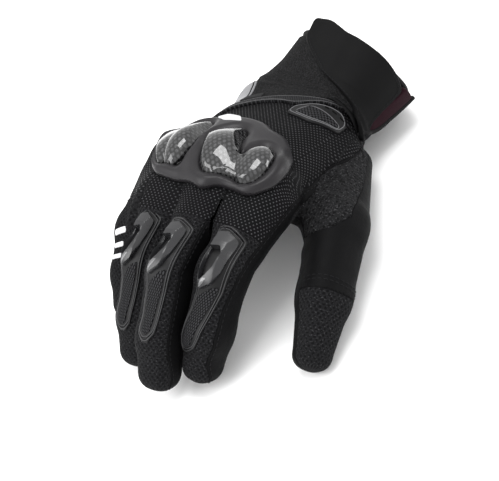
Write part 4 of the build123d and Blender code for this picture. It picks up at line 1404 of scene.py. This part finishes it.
lay("cuff_reflective_patch", "white", WHITE, loop_place, domed(0.5, 0.5, 0.6), 1.0, "cuff_side_patch",
    "reflective", levels=(0.3,), base=-0.3)

# ---------------------------------------------------------------- strap
STRAP = softened([
    (-14, 58), (-2, 59.5), (13, 56), (27, 55), (36, 54), (45, 51.5), (53, 48), (51, 36), (48, 22),
    (51, 8), (50, -1), (42, 0), (34, 10.5), (25, 19.5), (13, 33), (-6, 41.5), (-13.5, 47)], 3, 6)
HOOK = softened([(28, 22), (30, 46), (0, 50), (0, 44)], 2, 4)
GUSSET = softened([(44, 4), (50, 17), (60, 36), (62, 50), (54, 50.5), (49, 34), (45, 18)], 1.5, 4)
GUSSET_EDGE = np.array([(44.5, 3.0), (50.5, 16.5), (60.5, 35.5), (62.5, 50.5)])


def strap_height(u, w, d):
    return 1.7 + 0.6 * step01(-u, 5, 18) + 1.2 * step01(w, 49, 60) + round_edge(d, 0.8, 1.6)


def gusset_height(u, w, d):
    return 1.2 + 0.12 * np.clip(u - 44, 0, 20) + round_edge(d, 0.8, 1.0)


lay("strap_neoprene_tab", "strap", STRAP, cuff_place, strap_height, 1.0, "wrist_strap", "strap",
    levels=(0.3, 0.8), base=1.2, ride="strap")
stitch("strap_stitches", "thread", offset_loop(STRAP, -1.8), cuff_place, 3.3, 2.2, 1.5, 0.4, 0.0,
       ride="strap")
lay("strap_hook_fabric", "pile", HOOK, cuff_place, domed(1.1, 0.3, 0.4), 1.0, "strap_hook_patch", "hook",
    levels=(0.3,), base=0.9, ride="strap")
lay("cuff_gusset_lining", "lining", GUSSET, cuff_place, gusset_height, 0.8, levels=(0.3, 0.7), base=-0.5)
trace("cuff_gusset_binding", "binding", ((GUSSET_EDGE, 2.0),),
      lambda u, w, h: cuff_place(u, w, h + 0.12 * (u - 44)), 1.2, 8, False)


# ---------------------------------------------------------------- stage, light and camera
def stage():
    """A light paper floor and an even white surrounding."""
    mesh = bpy.data.meshes.new("floor")
    mesh.from_pydata([(-4, -4, 0), (4, -4, 0), (4, 4, 0), (-4, 4, 0)], [], [(0, 1, 2, 3)])
    o = bpy.data.objects.new("floor", mesh)
    bpy.context.collection.objects.link(o)
    mesh.materials.append(Nodes("floor_paper", (0.95, 0.95, 0.95), 0.9).m)
    world = bpy.data.worlds.new("world")
    bpy.context.scene.world = world
    world.use_nodes = True
    world.node_tree.nodes["Background"].inputs[0].default_value = (1, 1, 1, 1)
    world.node_tree.nodes["Background"].inputs[1].default_value = 1.15


VIEW = (44.0, 34.0, 17.0)  # degrees: round the glove, up, and turned about the line of sight
VIEW_TILT = 9.0  # degrees, from that frame to this one
AIM = np.array([0, 20, -19.0])  # the point looked at, mm
EYE_AWAY = 600.0  # mm
LENS = 90.4689  # focal length, mm
LENS_SHIFT = (0.021042, -0.119238)  # shares of the picture's width


def camera():
    """The camera is placed in the frame the hand had before it was laid down on its heel."""
    az, el, roll = (math.radians(a) for a in VIEW)
    back = np.array([math.sin(az) * math.cos(el), -math.cos(az) * math.cos(el), math.sin(el)])
    right = np.array([math.cos(az), math.sin(az), 0.0])
    up = np.cross(back, right)
    x = math.cos(roll) * right - math.sin(roll) * up
    y = math.sin(roll) * right + math.cos(roll) * up
    tilt = math.radians(VIEW_TILT)
    turn = np.array([[1, 0, 0], [0, math.cos(tilt), math.sin(tilt)], [0, -math.sin(tilt), math.cos(tilt)]])
    target = turn @ AIM + SHIFT
    x, y, back = turn @ x, turn @ y, turn @ back
    eye = target + EYE_AWAY * back
    data = bpy.data.cameras.new("camera")
    o = bpy.data.objects.new("camera", data)
    bpy.context.collection.objects.link(o)
    m = Matrix.Identity(4)
    for i in range(3):
        m[i][0], m[i][1], m[i][2], m[i][3] = x[i], y[i], back[i], eye[i] / 1000.0
    o.matrix_world = m
    data.sensor_width = 36.0  # mm
    data.lens = LENS
    data.shift_x, data.shift_y = LENS_SHIFT
    data.clip_start = 0.01
    bpy.context.scene.camera = o
    return x, y, back


def light(name, spot, size, power):
    """An area light that looks at the glove from spot."""
    data = bpy.data.lights.new(name, "AREA")
    data.size, data.energy = size, power
    o = bpy.data.objects.new(name, data)
    bpy.context.collection.objects.link(o)
    o.location = spot
    o.rotation_euler = (Vector(spot) - Vector((0, 0, 0.03))).to_track_quat("Z", "Y").to_euler()


stage()
right, up, toward = camera()
light("top", (0, 0, 1.2), 1.6, 2.0)
for name, (x, y, z), size, power in (
        ("key", (-0.25, 0.75, 0.6), 0.35, 3.2),
        ("side", (0.9, 0.25, 0.3), 0.3, 1.8),
        ("low", (-0.85, 0.05, 0.5), 0.5, 4.0)):
    light(name, tuple(0.8 * (x * right + y * up + z * toward)), size, power)
bpy.context.scene.view_settings.view_transform = "Standard"
